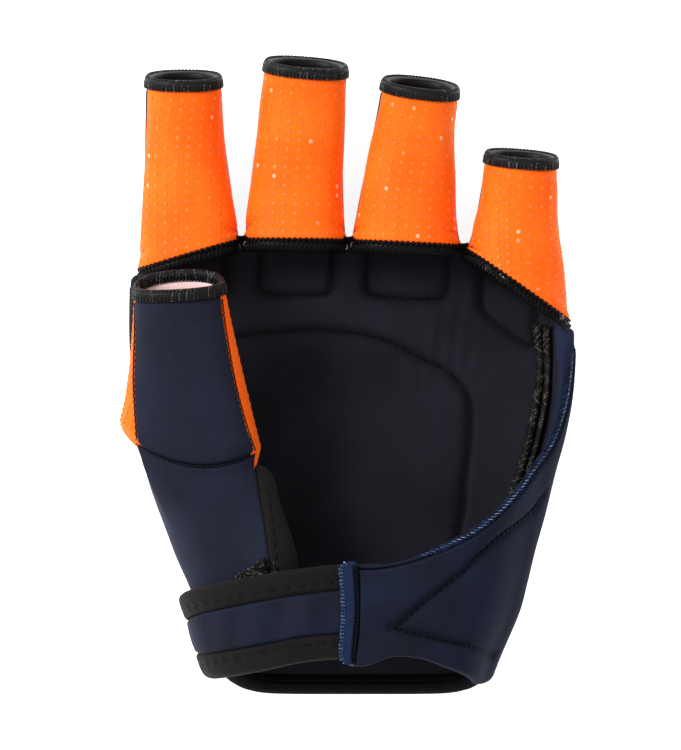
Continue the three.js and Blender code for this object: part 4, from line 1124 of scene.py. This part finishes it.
def panel_relief(u, v):
    """A ridge along the thumb's seam, and the soft give of the cloth below it."""
    ridge = 0.25 * np.exp(-((1 - v) / 0.05) ** 2) - 0.2 * np.exp(-((v - 0.92) / 0.03) ** 2)
    give = 0.35 * np.sin(2.6 * u + 1.2) * np.sin(np.pi * v) + 0.2 * np.sin(9 * v + 4 * u)
    return ridge * smooth(u / 0.2) + give, 0 * u


panel = cloth("thumb_panel_cloth", panel_skin, (46, 42), CLOTH_WALL, (90, 84), panel_relief)
panel.data.materials.append(navy)


def panel_seam(t, lift):
    return panel_skin(mix(0.22, 0.99, t), 0.993, -lift)


panel_thread = sewn("thumb_panel_seam_thread", stitch, black_thread,
                    *places_on(panel_seam, 1.5, lift=0.16), seed=5, length=1.3, rise=0.12,
                    thread=0.16)
for piece in (panel, panel_thread):
    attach(piece, "root")
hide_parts("thumb_panel")

# The binding on the panel's free edge. The same knitted tape as the cuff's, folded over the
# edge and topstitched a third of its width in; it rolls inwards over the palm.

BINDING_WIDTH = 6.4
BINDING_PROUD = 0.4


def panel_tape_skin(u, v, depth):
    v = 0.93 * v
    outer, inner = panel_skin(1.0, v, 0.0), panel_skin(1.0, v, CLOTH_WALL)
    normal = unit(outer - inner)
    run = unit((outer - panel_skin(0.96, v, 0.0)) * np.array([1, 0, 0.2]))
    width = BINDING_WIDTH * (0.98 - 0.3 * smooth((v - 0.85) / 0.08))
    reach = width * u - 0.1
    start = outer + normal * (BINDING_PROUD - depth)[..., None]
    return start + run * reach[..., None] - normal * (0.3 * u * u * BINDING_WIDTH)[..., None]


def panel_tape_line(t, lift):
    return panel_tape_skin(0.34 + 0 * t, t, -lift + 0 * t)


panel_tape = cloth("thumb_panel_tape", panel_tape_skin, (6.4, 40),
                   CLOTH_WALL + BINDING_PROUD, (14, 70))

# Knitted polyester binding tape: warm black, fine diagonal ribs 0.6 mm apart, matt.
tape, tree, shader = finish_of("knitted_binding_tape", Roughness=0.88, Specular_IOR_Level=0.15,
                               Sheen_Weight=0.06, Sheen_Roughness=0.5,
                               Sheen_Tint=linear("#b9b2a2"))
knit(tree, shader, ("#0d0b0b", "#13110f"), 0.7, 0.6, 0.03, nap_share=0.4)
panel_tape.data.materials.append(tape)
panel_tape_thread = sewn("thumb_panel_topstitch", stitch, tape_thread,
                         *places_on(panel_tape_line, 3.3, (0.03, 0.84), lift=0.0), seed=6,
                         length=2.0, rise=0.22, thread=0.26)
for piece in (panel_tape, panel_tape_thread):
    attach(piece, "root")
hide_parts("thumb_panel_binding")

# The loop patch. Napped black loop tape sewn to the panel under the strap; a sliver of its
# tangled loops shows above the strap's right half.

PATCH = {"left": 0.62, "right": 0.985, "low": 0.06, "high_left": 0.21, "high_right": 0.36}
PATCH_WALL = 1.0
LOOPS = 1100
STRAY_LOOPS = 90


def patch_skin(u, v, depth):
    place = (mix(PATCH["left"], PATCH["right"], u),
             mix(PATCH["low"], mix(PATCH["high_left"], PATCH["high_right"], u), v))
    outer, inner = panel_skin(*place, 0.0), panel_skin(*place, CLOTH_WALL)
    return outer + unit(outer - inner) * (SEAM_GAP + PATCH_WALL - depth)[..., None]


patch = cloth("loop_patch_base", patch_skin, (16, 16), PATCH_WALL, (30, 30))
pile_thread = thread_finish("napped_loop_pile", "#040404", "#8d8a7e", 0.2)
patch.data.materials.append(black_thread)
rng = np.random.default_rng(7)
at_u, at_v = rng.uniform(0.3, 0.98, LOOPS), rng.uniform(0.02, 0.98, LOOPS)
root, top = patch_skin(at_u, at_v, np.zeros(LOOPS)), patch_skin(at_u, at_v, -np.ones(LOOPS))
# A few loops reach over the foot of the panel's tape.
tape_u = rng.uniform(0.0, 0.5, STRAY_LOOPS) ** 1.5
tape_v = rng.uniform(0.1, 0.36, STRAY_LOOPS)
root = np.concatenate([root, panel_tape_skin(tape_u, tape_v, np.zeros(STRAY_LOOPS))])
top = np.concatenate([top, panel_tape_skin(tape_u, tape_v, -np.ones(STRAY_LOOPS))])
lie = unit(rng.normal(size=root.shape))
pile_up = unit(top - root[:len(top)] + 0.5 * rng.normal(size=root.shape))
pile = sewn("loop_patch_pile", stitch, pile_thread, root, lie, pile_up, seed=8,
            length=1.0, rise=0.42, thread=0.075)
for piece in (patch, pile):
    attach(piece, "root")
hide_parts("loop_patch")

# The wrist strap. A band of brushed sponge cloth from the back round the thumb side to under
# the wing, bound along both edges with topstitched tape. It is drawn tight over the panel, so
# it dents softly across its width.

STRAP = {"girth": (3.2, 3.0, 2.84, 2.65, 2.46, 2.28, 2.1, 1.75),
         "low": (0.032, 0.03, 0.031, 0.038, 0.049, 0.061, 0.066, 0.076),
         "high": (0.148, 0.156, 0.168, 0.18, 0.193, 0.204, 0.211, 0.213)}
STRAP_LIFT = SEAM_GAP + PATCH_WALL + SEAM_GAP


def strap_edges(girth):
    return (y_at(read(STRAP, "girth", column, girth)) for column in ("low", "high"))


def strap_skin(band, proud):
    """The skin of one of the strap's three bands; band(low, high) gives its two edges."""
    def skin(u, v, depth):
        girth = mix(STRAP["girth"][0], STRAP["girth"][-1], u)
        start, end = band(*strap_edges(girth))
        return hand(girth, mix(start, end, v), depth - STRAP_LIFT - CLOTH_WALL - proud)
    return skin


def strap_dents(u, v):
    """Soft dents across the strap, deeper between its two edges."""
    dents = sum(depth * np.exp(-((u - place) / width) ** 2) for place, width, depth in
                ((0.33, 0.03, -0.35), (0.43, 0.025, -0.7), (0.5, 0.02, 0.4), (0.57, 0.03, -0.9),
                 (0.65, 0.025, 0.5), (0.72, 0.03, -0.6)))
    return (dents + 0.35) * np.sin(np.pi * v) ** 0.7, 0 * u


strap = cloth("strap_cloth", strap_skin(
    lambda low, high: (low + BINDING_WIDTH + SEAM_GAP, high - BINDING_WIDTH - SEAM_GAP), 0),
    (110, 14), CLOTH_WALL, (180, 26), strap_dents)

# Brushed polyester knit on sponge: navy with a bluer bloom where the nap catches light.
brushed, tree, shader = finish_of("brushed_navy_knit", Roughness=0.75, Specular_IOR_Level=0.12,
                                  Sheen_Weight=0.12, Sheen_Roughness=0.35,
                                  Sheen_Tint=linear("#7f90c8"))
knit(tree, shader, ("#11131b", "#12172b"), 0.7, 0.7, 0.014, nap_share=0.2, clouds=90.0)
strap.data.materials.append(brushed)
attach(strap, "root")
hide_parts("strap")

TOPSTITCH = 3.9


def puckered(row, width, length):
    """The tape sinks along its topstitching and swells between two stitches."""
    def relief(u, v):
        near = np.exp(-(((v - row) * width / 0.75) ** 2))
        stitches = 0.6 + 0.4 * np.cos(2 * np.pi * u * length / TOPSTITCH)
        return -0.42 * near * stitches + 0.12 * np.sin(np.pi * v), 0 * u
    return relief


tapes = {
    "strap_lower_binding": (lambda low, high: (low, low + BINDING_WIDTH + SEAM_GAP - 0.05), 0.66),
    "strap_upper_binding": (lambda low, high: (high - BINDING_WIDTH - SEAM_GAP + 0.05, high), 0.3),
}
for replaced, (band, row) in tapes.items():
    skin = strap_skin(band, BINDING_PROUD)
    run = skin(np.linspace(0, 1, 200), row, 0.0)
    length = np.linalg.norm(np.diff(run, axis=0), axis=1).sum()
    folded = cloth(replaced.replace("binding", "tape"), skin, (110, BINDING_WIDTH),
                   CLOTH_WALL + BINDING_PROUD, (240, 16),
                   puckered(row, BINDING_WIDTH, length))
    folded.data.materials.append(tape)
    topstitch = sewn(replaced.replace("binding", "topstitch"), stitch, tape_thread,
                     *places_on(lambda t, lift: skin(t, row, -lift), TOPSTITCH,
                                lift=-0.36), seed=12, length=2.5, rise=0.22, thread=0.3)
    for piece in (folded, topstitch):
        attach(piece, "root")
    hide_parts(replaced)

# The closing wing. Two layers of the navy cloth from the little-finger edge, sweeping over
# the wrist; a V of dark lockstitch joins its layers, and its free edge is overlocked in blue.

WING = {"u": np.linspace(0, 1, 9),
        "low": (1.0, 1.09, 1.23, 1.4, 1.56, 1.68, 1.81, 1.94, 2.104),
        "low_along": (0.026, 0.023, 0.023, 0.036, 0.053, 0.067, 0.07, 0.056, 0.058),
        "high": (1.0, 1.056, 1.13, 1.245, 1.39, 1.555, 1.74, 1.91, 2.09),
        "high_along": (0.556, 0.47, 0.394, 0.346, 0.3, 0.25, 0.216, 0.204, 0.208)}
WING_LAYER = STRAP_LIFT + 2 * CLOTH_WALL + BINDING_PROUD + SEAM_GAP
TAB_BAND = 4.6


def wing_lift(girth):
    return WING_LAYER * smooth((girth - 1.16) / (1.55 - 1.16))


def wing_skin(u, v, depth):
    u, v, depth = np.broadcast_arrays(*(np.asarray(a, float) for a in (u, v, depth)))
    low, low_along, high, high_along = (read(WING, "u", column, u) for column in
                                        ("low", "low_along", "high", "high_along"))
    girth = mix(low, high, v)
    y = y_at(mix(low_along, high_along, v))
    point = hand(np.maximum(girth, 1 + 1e-9), y, depth - wing_lift(girth))
    point[..., 2] -= 1.8 * SEWN_LAP * (1 - smooth((girth - 1) / 0.06))
    return point


tab_width = np.linalg.norm(wing_skin(0.9, 0.5, 0.0) - wing_skin(1.0, 0.5, 0.0)) / 0.1
tab_share = 1 - TAB_BAND / tab_width
tab_start = tab_share + 1.5 * SEAM_GAP / tab_width
# The V in girth and length shares: from its point along its upper and its lower arm.
V_UPPER = ((1.835, 0.116), (1.809, 0.118), (1.705, 0.155), (1.579, 0.195), (1.491, 0.231),
           (1.39, 0.26), (1.194, 0.29), (1.114, 0.316))
V_LOWER = ((1.815, 0.114), (1.707, 0.104), (1.569, 0.093), (1.384, 0.079), (1.158, 0.068))


def wing_line(route):
    shares = np.linspace(0, 1, 200)
    fine = through(route, 200)

    def line(t, lift):
        girth, along = (np.interp(t, shares, fine[:, k]) for k in (0, 1))
        return hand(girth, y_at(along), -wing_lift(girth) - lift)
    return line


v_lines = [wing_line(V_UPPER), wing_line(V_LOWER)]
v_points = np.concatenate([line(np.linspace(0, 1, 200), 0.0) for line in v_lines])


def wing_relief(u, v):
    """A valley along the V, a hollow inside it, and slack that runs out of the tab."""
    skin = wing_skin(u, v, 0.0)
    gap = np.linalg.norm(skin[..., None, :] - v_points, axis=-1).min(-1)
    valley = -0.85 * np.exp(-((gap / 1.3) ** 2)) + 0.35 * (1 - np.exp(-((gap / 6) ** 2)))
    slack = 0.35 * np.sin(10 * v + 2 * u) * np.exp(-((u - 0.9) / 0.12) ** 2)
    return valley + slack + 0.12 * np.sin(7 * u + 3 * v), 0 * u


wing = cloth("wing_cloth", lambda u, v, depth: wing_skin(tab_share * u, v, depth), (75, 60),
             CLOTH_WALL, (110, 84), lambda u, v: wing_relief(tab_share * u, v))

# The same sponge-backed knit as the strap's, its nap brushed less: navy, greyer where it
# faces the light.
wing_finish, tree, shader = finish_of("navy_wing_knit", Roughness=0.85,
                                      Specular_IOR_Level=0.08, Sheen_Weight=0.04,
                                      Sheen_Roughness=0.45, Sheen_Tint=linear("#8797cf"))
colour = knit(tree, shader, ("#14161f", "#161c30"), 0.7, 0.7, 0.012, nap_share=0.3)
# Painted shade along the V's valley, darker nearer its stitches.
to_v = np.linalg.norm(points_of(wing)[:, None] - v_points[::3], axis=-1).min(-1)
mark(wing, "crease_painted_shade", np.exp(-((to_v / 1.2) ** 2)))
paint_shade_in_creases(tree, shader, colour, 0.6)
wing.data.materials.append(wing_finish)
v_rows = [places_on(line, 1.95, (0.0, 0.99), lift=-0.6) for line in v_lines]
v_thread = sewn("wing_v_stitches", stitch, black_thread, *together(v_rows), seed=13,
                length=1.25, rise=0.25, thread=0.26)
for piece in (wing, v_thread):
    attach(piece, "root")
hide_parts("wing")

# The wing's free edge. Dark blue thread is overlocked round the cut edge so close that it
# makes a cord, and a paler blue thread slants over it every 1.3 mm.

EDGE_RADIUS = 0.85
edge_shares = np.linspace(0.03, tab_share, 300)
edge = wing_skin(edge_shares, 1.0, CLOTH_WALL / 2)
inwards = wing_skin(edge_shares, 0.97, CLOTH_WALL / 2) - edge
cord_up = unit(wing_skin(edge_shares, 1.0, 0.0) - wing_skin(edge_shares, 1.0, CLOTH_WALL))
cord_away = np.cross(unit(np.gradient(edge, axis=0)), cord_up)
cord_away = unit(cord_away * -np.sign((cord_away * inwards).sum(-1, keepdims=True)))
# Towards the tab the cord thins out to a rolled edge.
cord_share = np.linspace(0, 1, len(edge))
cord_radius = EDGE_RADIUS * (0.86 - 0.2 * smooth((cord_share - 0.72) / 0.15))
cord_line = edge + cord_away * (SEAM_GAP + cord_radius - 0.08)[:, None]


def tube(name, line, up, radius, around=14, flat=1.0):
    """A round cord along a line, closed at both ends. Its UV map runs in mm along and round."""
    run = unit(np.gradient(line, axis=0))
    up = unit(up - run * (run * up).sum(-1, keepdims=True))
    out = np.cross(run, up)
    turn = np.arange(around) * 2 * np.pi / around
    length = np.concatenate([[0], np.linalg.norm(np.diff(line, axis=0), axis=1).cumsum()])
    ends = np.sqrt(np.clip(np.minimum(length, length[-1] - length) / np.max(radius), 0.02, 1))
    rings = line[:, None] + (radius * ends)[:, None, None] * (
        out[:, None] * np.cos(turn)[:, None] + flat * up[:, None] * np.sin(turn)[:, None])
    at = np.arange(rings.shape[0] * around).reshape(-1, around)
    beside = np.roll(at, -1, 1)
    quads = np.stack([at[:-1], beside[:-1], beside[1:], at[1:]], -1).reshape(-1, 4)
    caps = [[at[0, 0], at[0, k], at[0, k + 1], at[0, k + 2]] for k in range(1, around - 2, 2)]
    caps += [[at[-1, 0], at[-1, k + 2], at[-1, k + 1], at[-1, k]]
             for k in range(1, around - 2, 2)]
    lay = np.stack(np.meshgrid(length, turn * np.max(radius), indexing="ij"), -1)
    return mesh_of(name, rings.reshape(-1, 3), np.concatenate([quads, np.array(caps)]),
                   lay.reshape(-1, 2))


edge_core = tube("wing_edge_core", cord_line, cord_up, cord_radius)
blue_thread = thread_finish("blue_overlock_thread", "#0c1424", "#1c3052", 0.25)
pale_blue_thread = thread_finish("pale_blue_thread", "#36517e", "#86a0c6", 0.4)
edge_core.data.materials.append(blue_thread)


def at_share(t, rows):
    """Rows of points or directions read between each other, at shares of their run."""
    shares = np.linspace(0, 1, len(rows))
    return np.stack([np.interp(t, shares, column) for column in rows.T], -1)


def cord_along(t, lift, turned=0.0):
    """A line along the edge cord: off its middle away from the wing, or turned to its face."""
    line, away, up = (at_share(t, rows) for rows in (cord_line, cord_away, cord_up))
    return line + (away * math.cos(turned) + up * math.sin(turned)) * lift


def cord_face(t, lift):
    return cord_along(t, EDGE_RADIUS + lift, turned=math.radians(75))


edge_loops = over_edge("wing_edge_loops", blue_thread, cord_along, 0.6, 2 * EDGE_RADIUS - 0.1,
                       0.8, ends=(0.004, 0.75), lean=1.0, thread=0.2, rise=EDGE_RADIUS,
                       seed=14)
edge_ticks = sewn("wing_edge_ticks", stitch, pale_blue_thread,
                  *places_on(cord_face, 1.3, (0.02, 0.78), lift=-0.02, lean=-30), seed=19,
                  length=1.6, rise=0.3, thread=0.1)
for piece in (edge_core, edge_loops, edge_ticks):
    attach(piece, "root")
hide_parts("wing_edge")

# The end of the wing's tab. Overcast with blue thread over its whole 4.6 mm band, paler where
# the thread turns round the end, with two dark rows of stitches where it meets the wing.

TAB_CORNER = 3.6
tab_length = np.linalg.norm(wing_skin(1.0, 0.0, 0.0) - wing_skin(1.0, 1.0, 0.0))
tab_top = 1 + (SEAM_GAP + 2 * EDGE_RADIUS) / tab_length


def tab_skin(u, v, depth):
    """The overcast band, its two outer corners rounded off."""
    from_end = tab_length * tab_top * np.minimum(v, 1 - v)
    corner = np.clip(1 - from_end / TAB_CORNER, 0, 1)
    inset = TAB_CORNER * (1 - np.sqrt(1 - 0.98 * corner ** 2)) / tab_width
    place = mix(tab_start - 1.2 * SEAM_GAP / tab_width, 1 - inset, u)
    return wing_skin(place, v * tab_top, depth - BINDING_PROUD)


tab = cloth("tab_overcast_band", tab_skin, (TAB_BAND, 25), CLOTH_WALL + BINDING_PROUD,
            (14, 60))
tab_thread = thread_finish("blue_overcast_thread", "#152543", "#1a3054", 0.35)
tab.data.materials.append(tab_thread)


def tab_end(t, lift):
    return tab_skin(1 - 0.12 + 0 * t + lift * 0.2, mix(0.02, 0.98, t),
                    (CLOTH_WALL + BINDING_PROUD) / 2 + 0 * t)


def tab_row(place, lift_from=0.0):
    def line(t, lift):
        return tab_skin(place + 0 * t, mix(0.02, 0.98, t), -lift - lift_from + 0 * t)
    return line


end_loops = over_edge("tab_end_loops", pale_blue_thread, tab_end, 0.95,
                      CLOTH_WALL + BINDING_PROUD, 0.3, lean=0.4, thread=0.13, rise=0.62,
                      seed=15)
cover = [places_on(tab_row(place), 0.62, zigzag=0.2, lift=0.06)
         for place in np.linspace(0.36, 0.94, 8)]
tab_cover = sewn("tab_overcast_thread", stitch, tab_thread, *together(cover), seed=16,
                 length=1.0, rise=0.08, thread=0.1)
dark = [places_on(tab_row(place), 0.8, (0.01, 0.98), lift=0.1) for place in (0.06, 0.26)]
tab_stitches = sewn("tab_dark_stitches", stitch, black_thread, *together(dark), seed=18,
                    length=0.8, rise=0.16, thread=0.28)
for piece in (tab, end_loops, tab_cover, tab_stitches):
    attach(piece, "root")
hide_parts("wing_tab")

# The two side seams inside the little-finger edge. Where back and wing are joined the raw
# edges are overlocked, each into a black ridge of crossing threads with painted paler glints.

CORD_RADIUS = 1.1
SIDE_SEAMS = {
    "side_seam_inner": ((0.432, 0.585), (0.444, 0.514), (0.43, 0.442), (0.403, 0.36),
                        (0.345, 0.25)),
    "side_seam_outer": ((0.457, 0.582), (0.465, 0.51), (0.461, 0.455), (0.437, 0.38),
                        (0.38, 0.25)),
}
# Its pale colour is painted glint, mixed in as short specks.
braid_thread = thread_finish("black_braid_thread", "#030303", "#6c6a60", 0.17, gloss=0.15)
for replaced, route in SIDE_SEAMS.items():
    plan = through([(a * KNUCKLE_WIDTH, float(y_at(b))) for a, b in route], 160)
    base = on_lining(plan[:, 0], plan[:, 1])
    lower = on_lining(plan[:, 0] - 1, plan[:, 1])
    seam_up = unit(np.stack([lower[:, 2] - base[:, 2], 0 * base[:, 0], 1 + 0 * base[:, 0]], -1))
    middle = base + seam_up * (CORD_RADIUS + 2 * SEAM_GAP)
    core = tube(replaced + "_core", middle, seam_up, CORD_RADIUS * 0.85, around=12)
    core.data.materials.append(black_thread)

    def ridge(t, lift, middle=middle, seam_up=seam_up):
        return at_share(t, middle) + at_share(t, seam_up) * (CORD_RADIUS * 0.75 + lift)
    braids = [places_on(ridge, 0.8, (0.01, 0.99), lift=0.02, lean=slant)
              for slant in (46, -46)]
    braid = sewn(replaced + "_braid", stitch, braid_thread, *together(braids),
                 seed=len(replaced), length=2.7, rise=0.55, thread=0.22)
    for piece in (core, braid):
        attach(piece, "root")
    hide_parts(replaced)

# Beyond the outer seam the back turns up into the wing and shows the wing's bluer knit. Its colour
# is also painted lighter, as the light that falls on this strip.
seam_x, seam_y = np.array(SIDE_SEAMS["side_seam_outer"][::-1]).T
at = points_of(back)
beyond = at[:, 0] - KNUCKLE_WIDTH * np.interp(at[:, 1], y_at(seam_y), seam_x)
mark(back, "turned_up", smooth((beyond - 1.0) / 0.9))
tree = lining.node_tree
shader = tree.nodes["Principled BSDF"]
turned = node(tree, "ShaderNodeAttribute", attribute_name="turned_up")
knitted = shader.inputs["Base Color"].links[0].from_socket
# Partly the wing's own bluer colour, partly painted light.
wing_blue_and_painted_light = mixed(tree, turned.outputs["Fac"], knitted, linear("#1d2439"))
tree.links.new(wing_blue_and_painted_light, shader.inputs["Base Color"])

# The floor, the light and the camera, which aren't part of the glove. The photograph looks
# straight down from about 1.5 m on a white ground, lit softly from the upper left.

floor_mesh = bpy.data.meshes.new("floor")
floor_mesh.from_pydata([(-3, -3, 0), (3, -3, 0), (3, 3, 0), (-3, 3, 0)], [], [(0, 1, 2, 3)])
floor = bpy.data.objects.new("floor", floor_mesh)
bpy.context.scene.collection.objects.link(floor)
# White paper on a lit table, which leaves only a breath of shadow under the glove.
paper, tree, shader = finish_of("white_paper", Roughness=0.95, Specular_IOR_Level=0.1,
                                Emission_Strength=0.8)
shader.inputs["Base Color"].default_value = linear("#f4f4f4")
shader.inputs["Emission Color"].default_value = linear("#ffffff")
floor.data.materials.append(paper)
floor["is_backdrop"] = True

world = bpy.data.worlds.new("studio")
bpy.context.scene.world = world
world.use_nodes = True
world.node_tree.nodes["Background"].inputs["Color"].default_value = (1, 1, 1, 1)
world.node_tree.nodes["Background"].inputs["Strength"].default_value = 0.7
for name, place, size, power in (("key", (-0.9, 0.5, 0.9), 0.5, 20.0),
                                 ("fill", (0.5, -0.5, 1.2), 0.8, 2.0)):
    light = bpy.data.lights.new(name, "AREA")
    light.energy = power
    light.size = size
    lamp = bpy.data.objects.new(name, light)
    lamp.location = place
    lamp.rotation_euler = (-Vector(place)).to_track_quat("-Z", "Y").to_euler()
    bpy.context.scene.collection.objects.link(lamp)

# The picture takes in 0.184 m across, 1.518 m from the camera.
SENSOR, PICTURE_WIDTH, PICTURE_AWAY = 36, 0.18387, 1.518
camera = bpy.data.cameras.new("camera")
camera.sensor_fit = "HORIZONTAL"
camera.sensor_width = SENSOR
camera.lens = SENSOR * PICTURE_AWAY / PICTURE_WIDTH
camera.clip_start = 0.1
eye = bpy.data.objects.new("camera", camera)
eye.location = (-0.00162, 0.0004, 1.533)
bpy.context.scene.collection.objects.link(eye)
bpy.context.scene.camera = eye
bpy.context.scene.view_settings.view_transform = "Standard"

low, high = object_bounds()
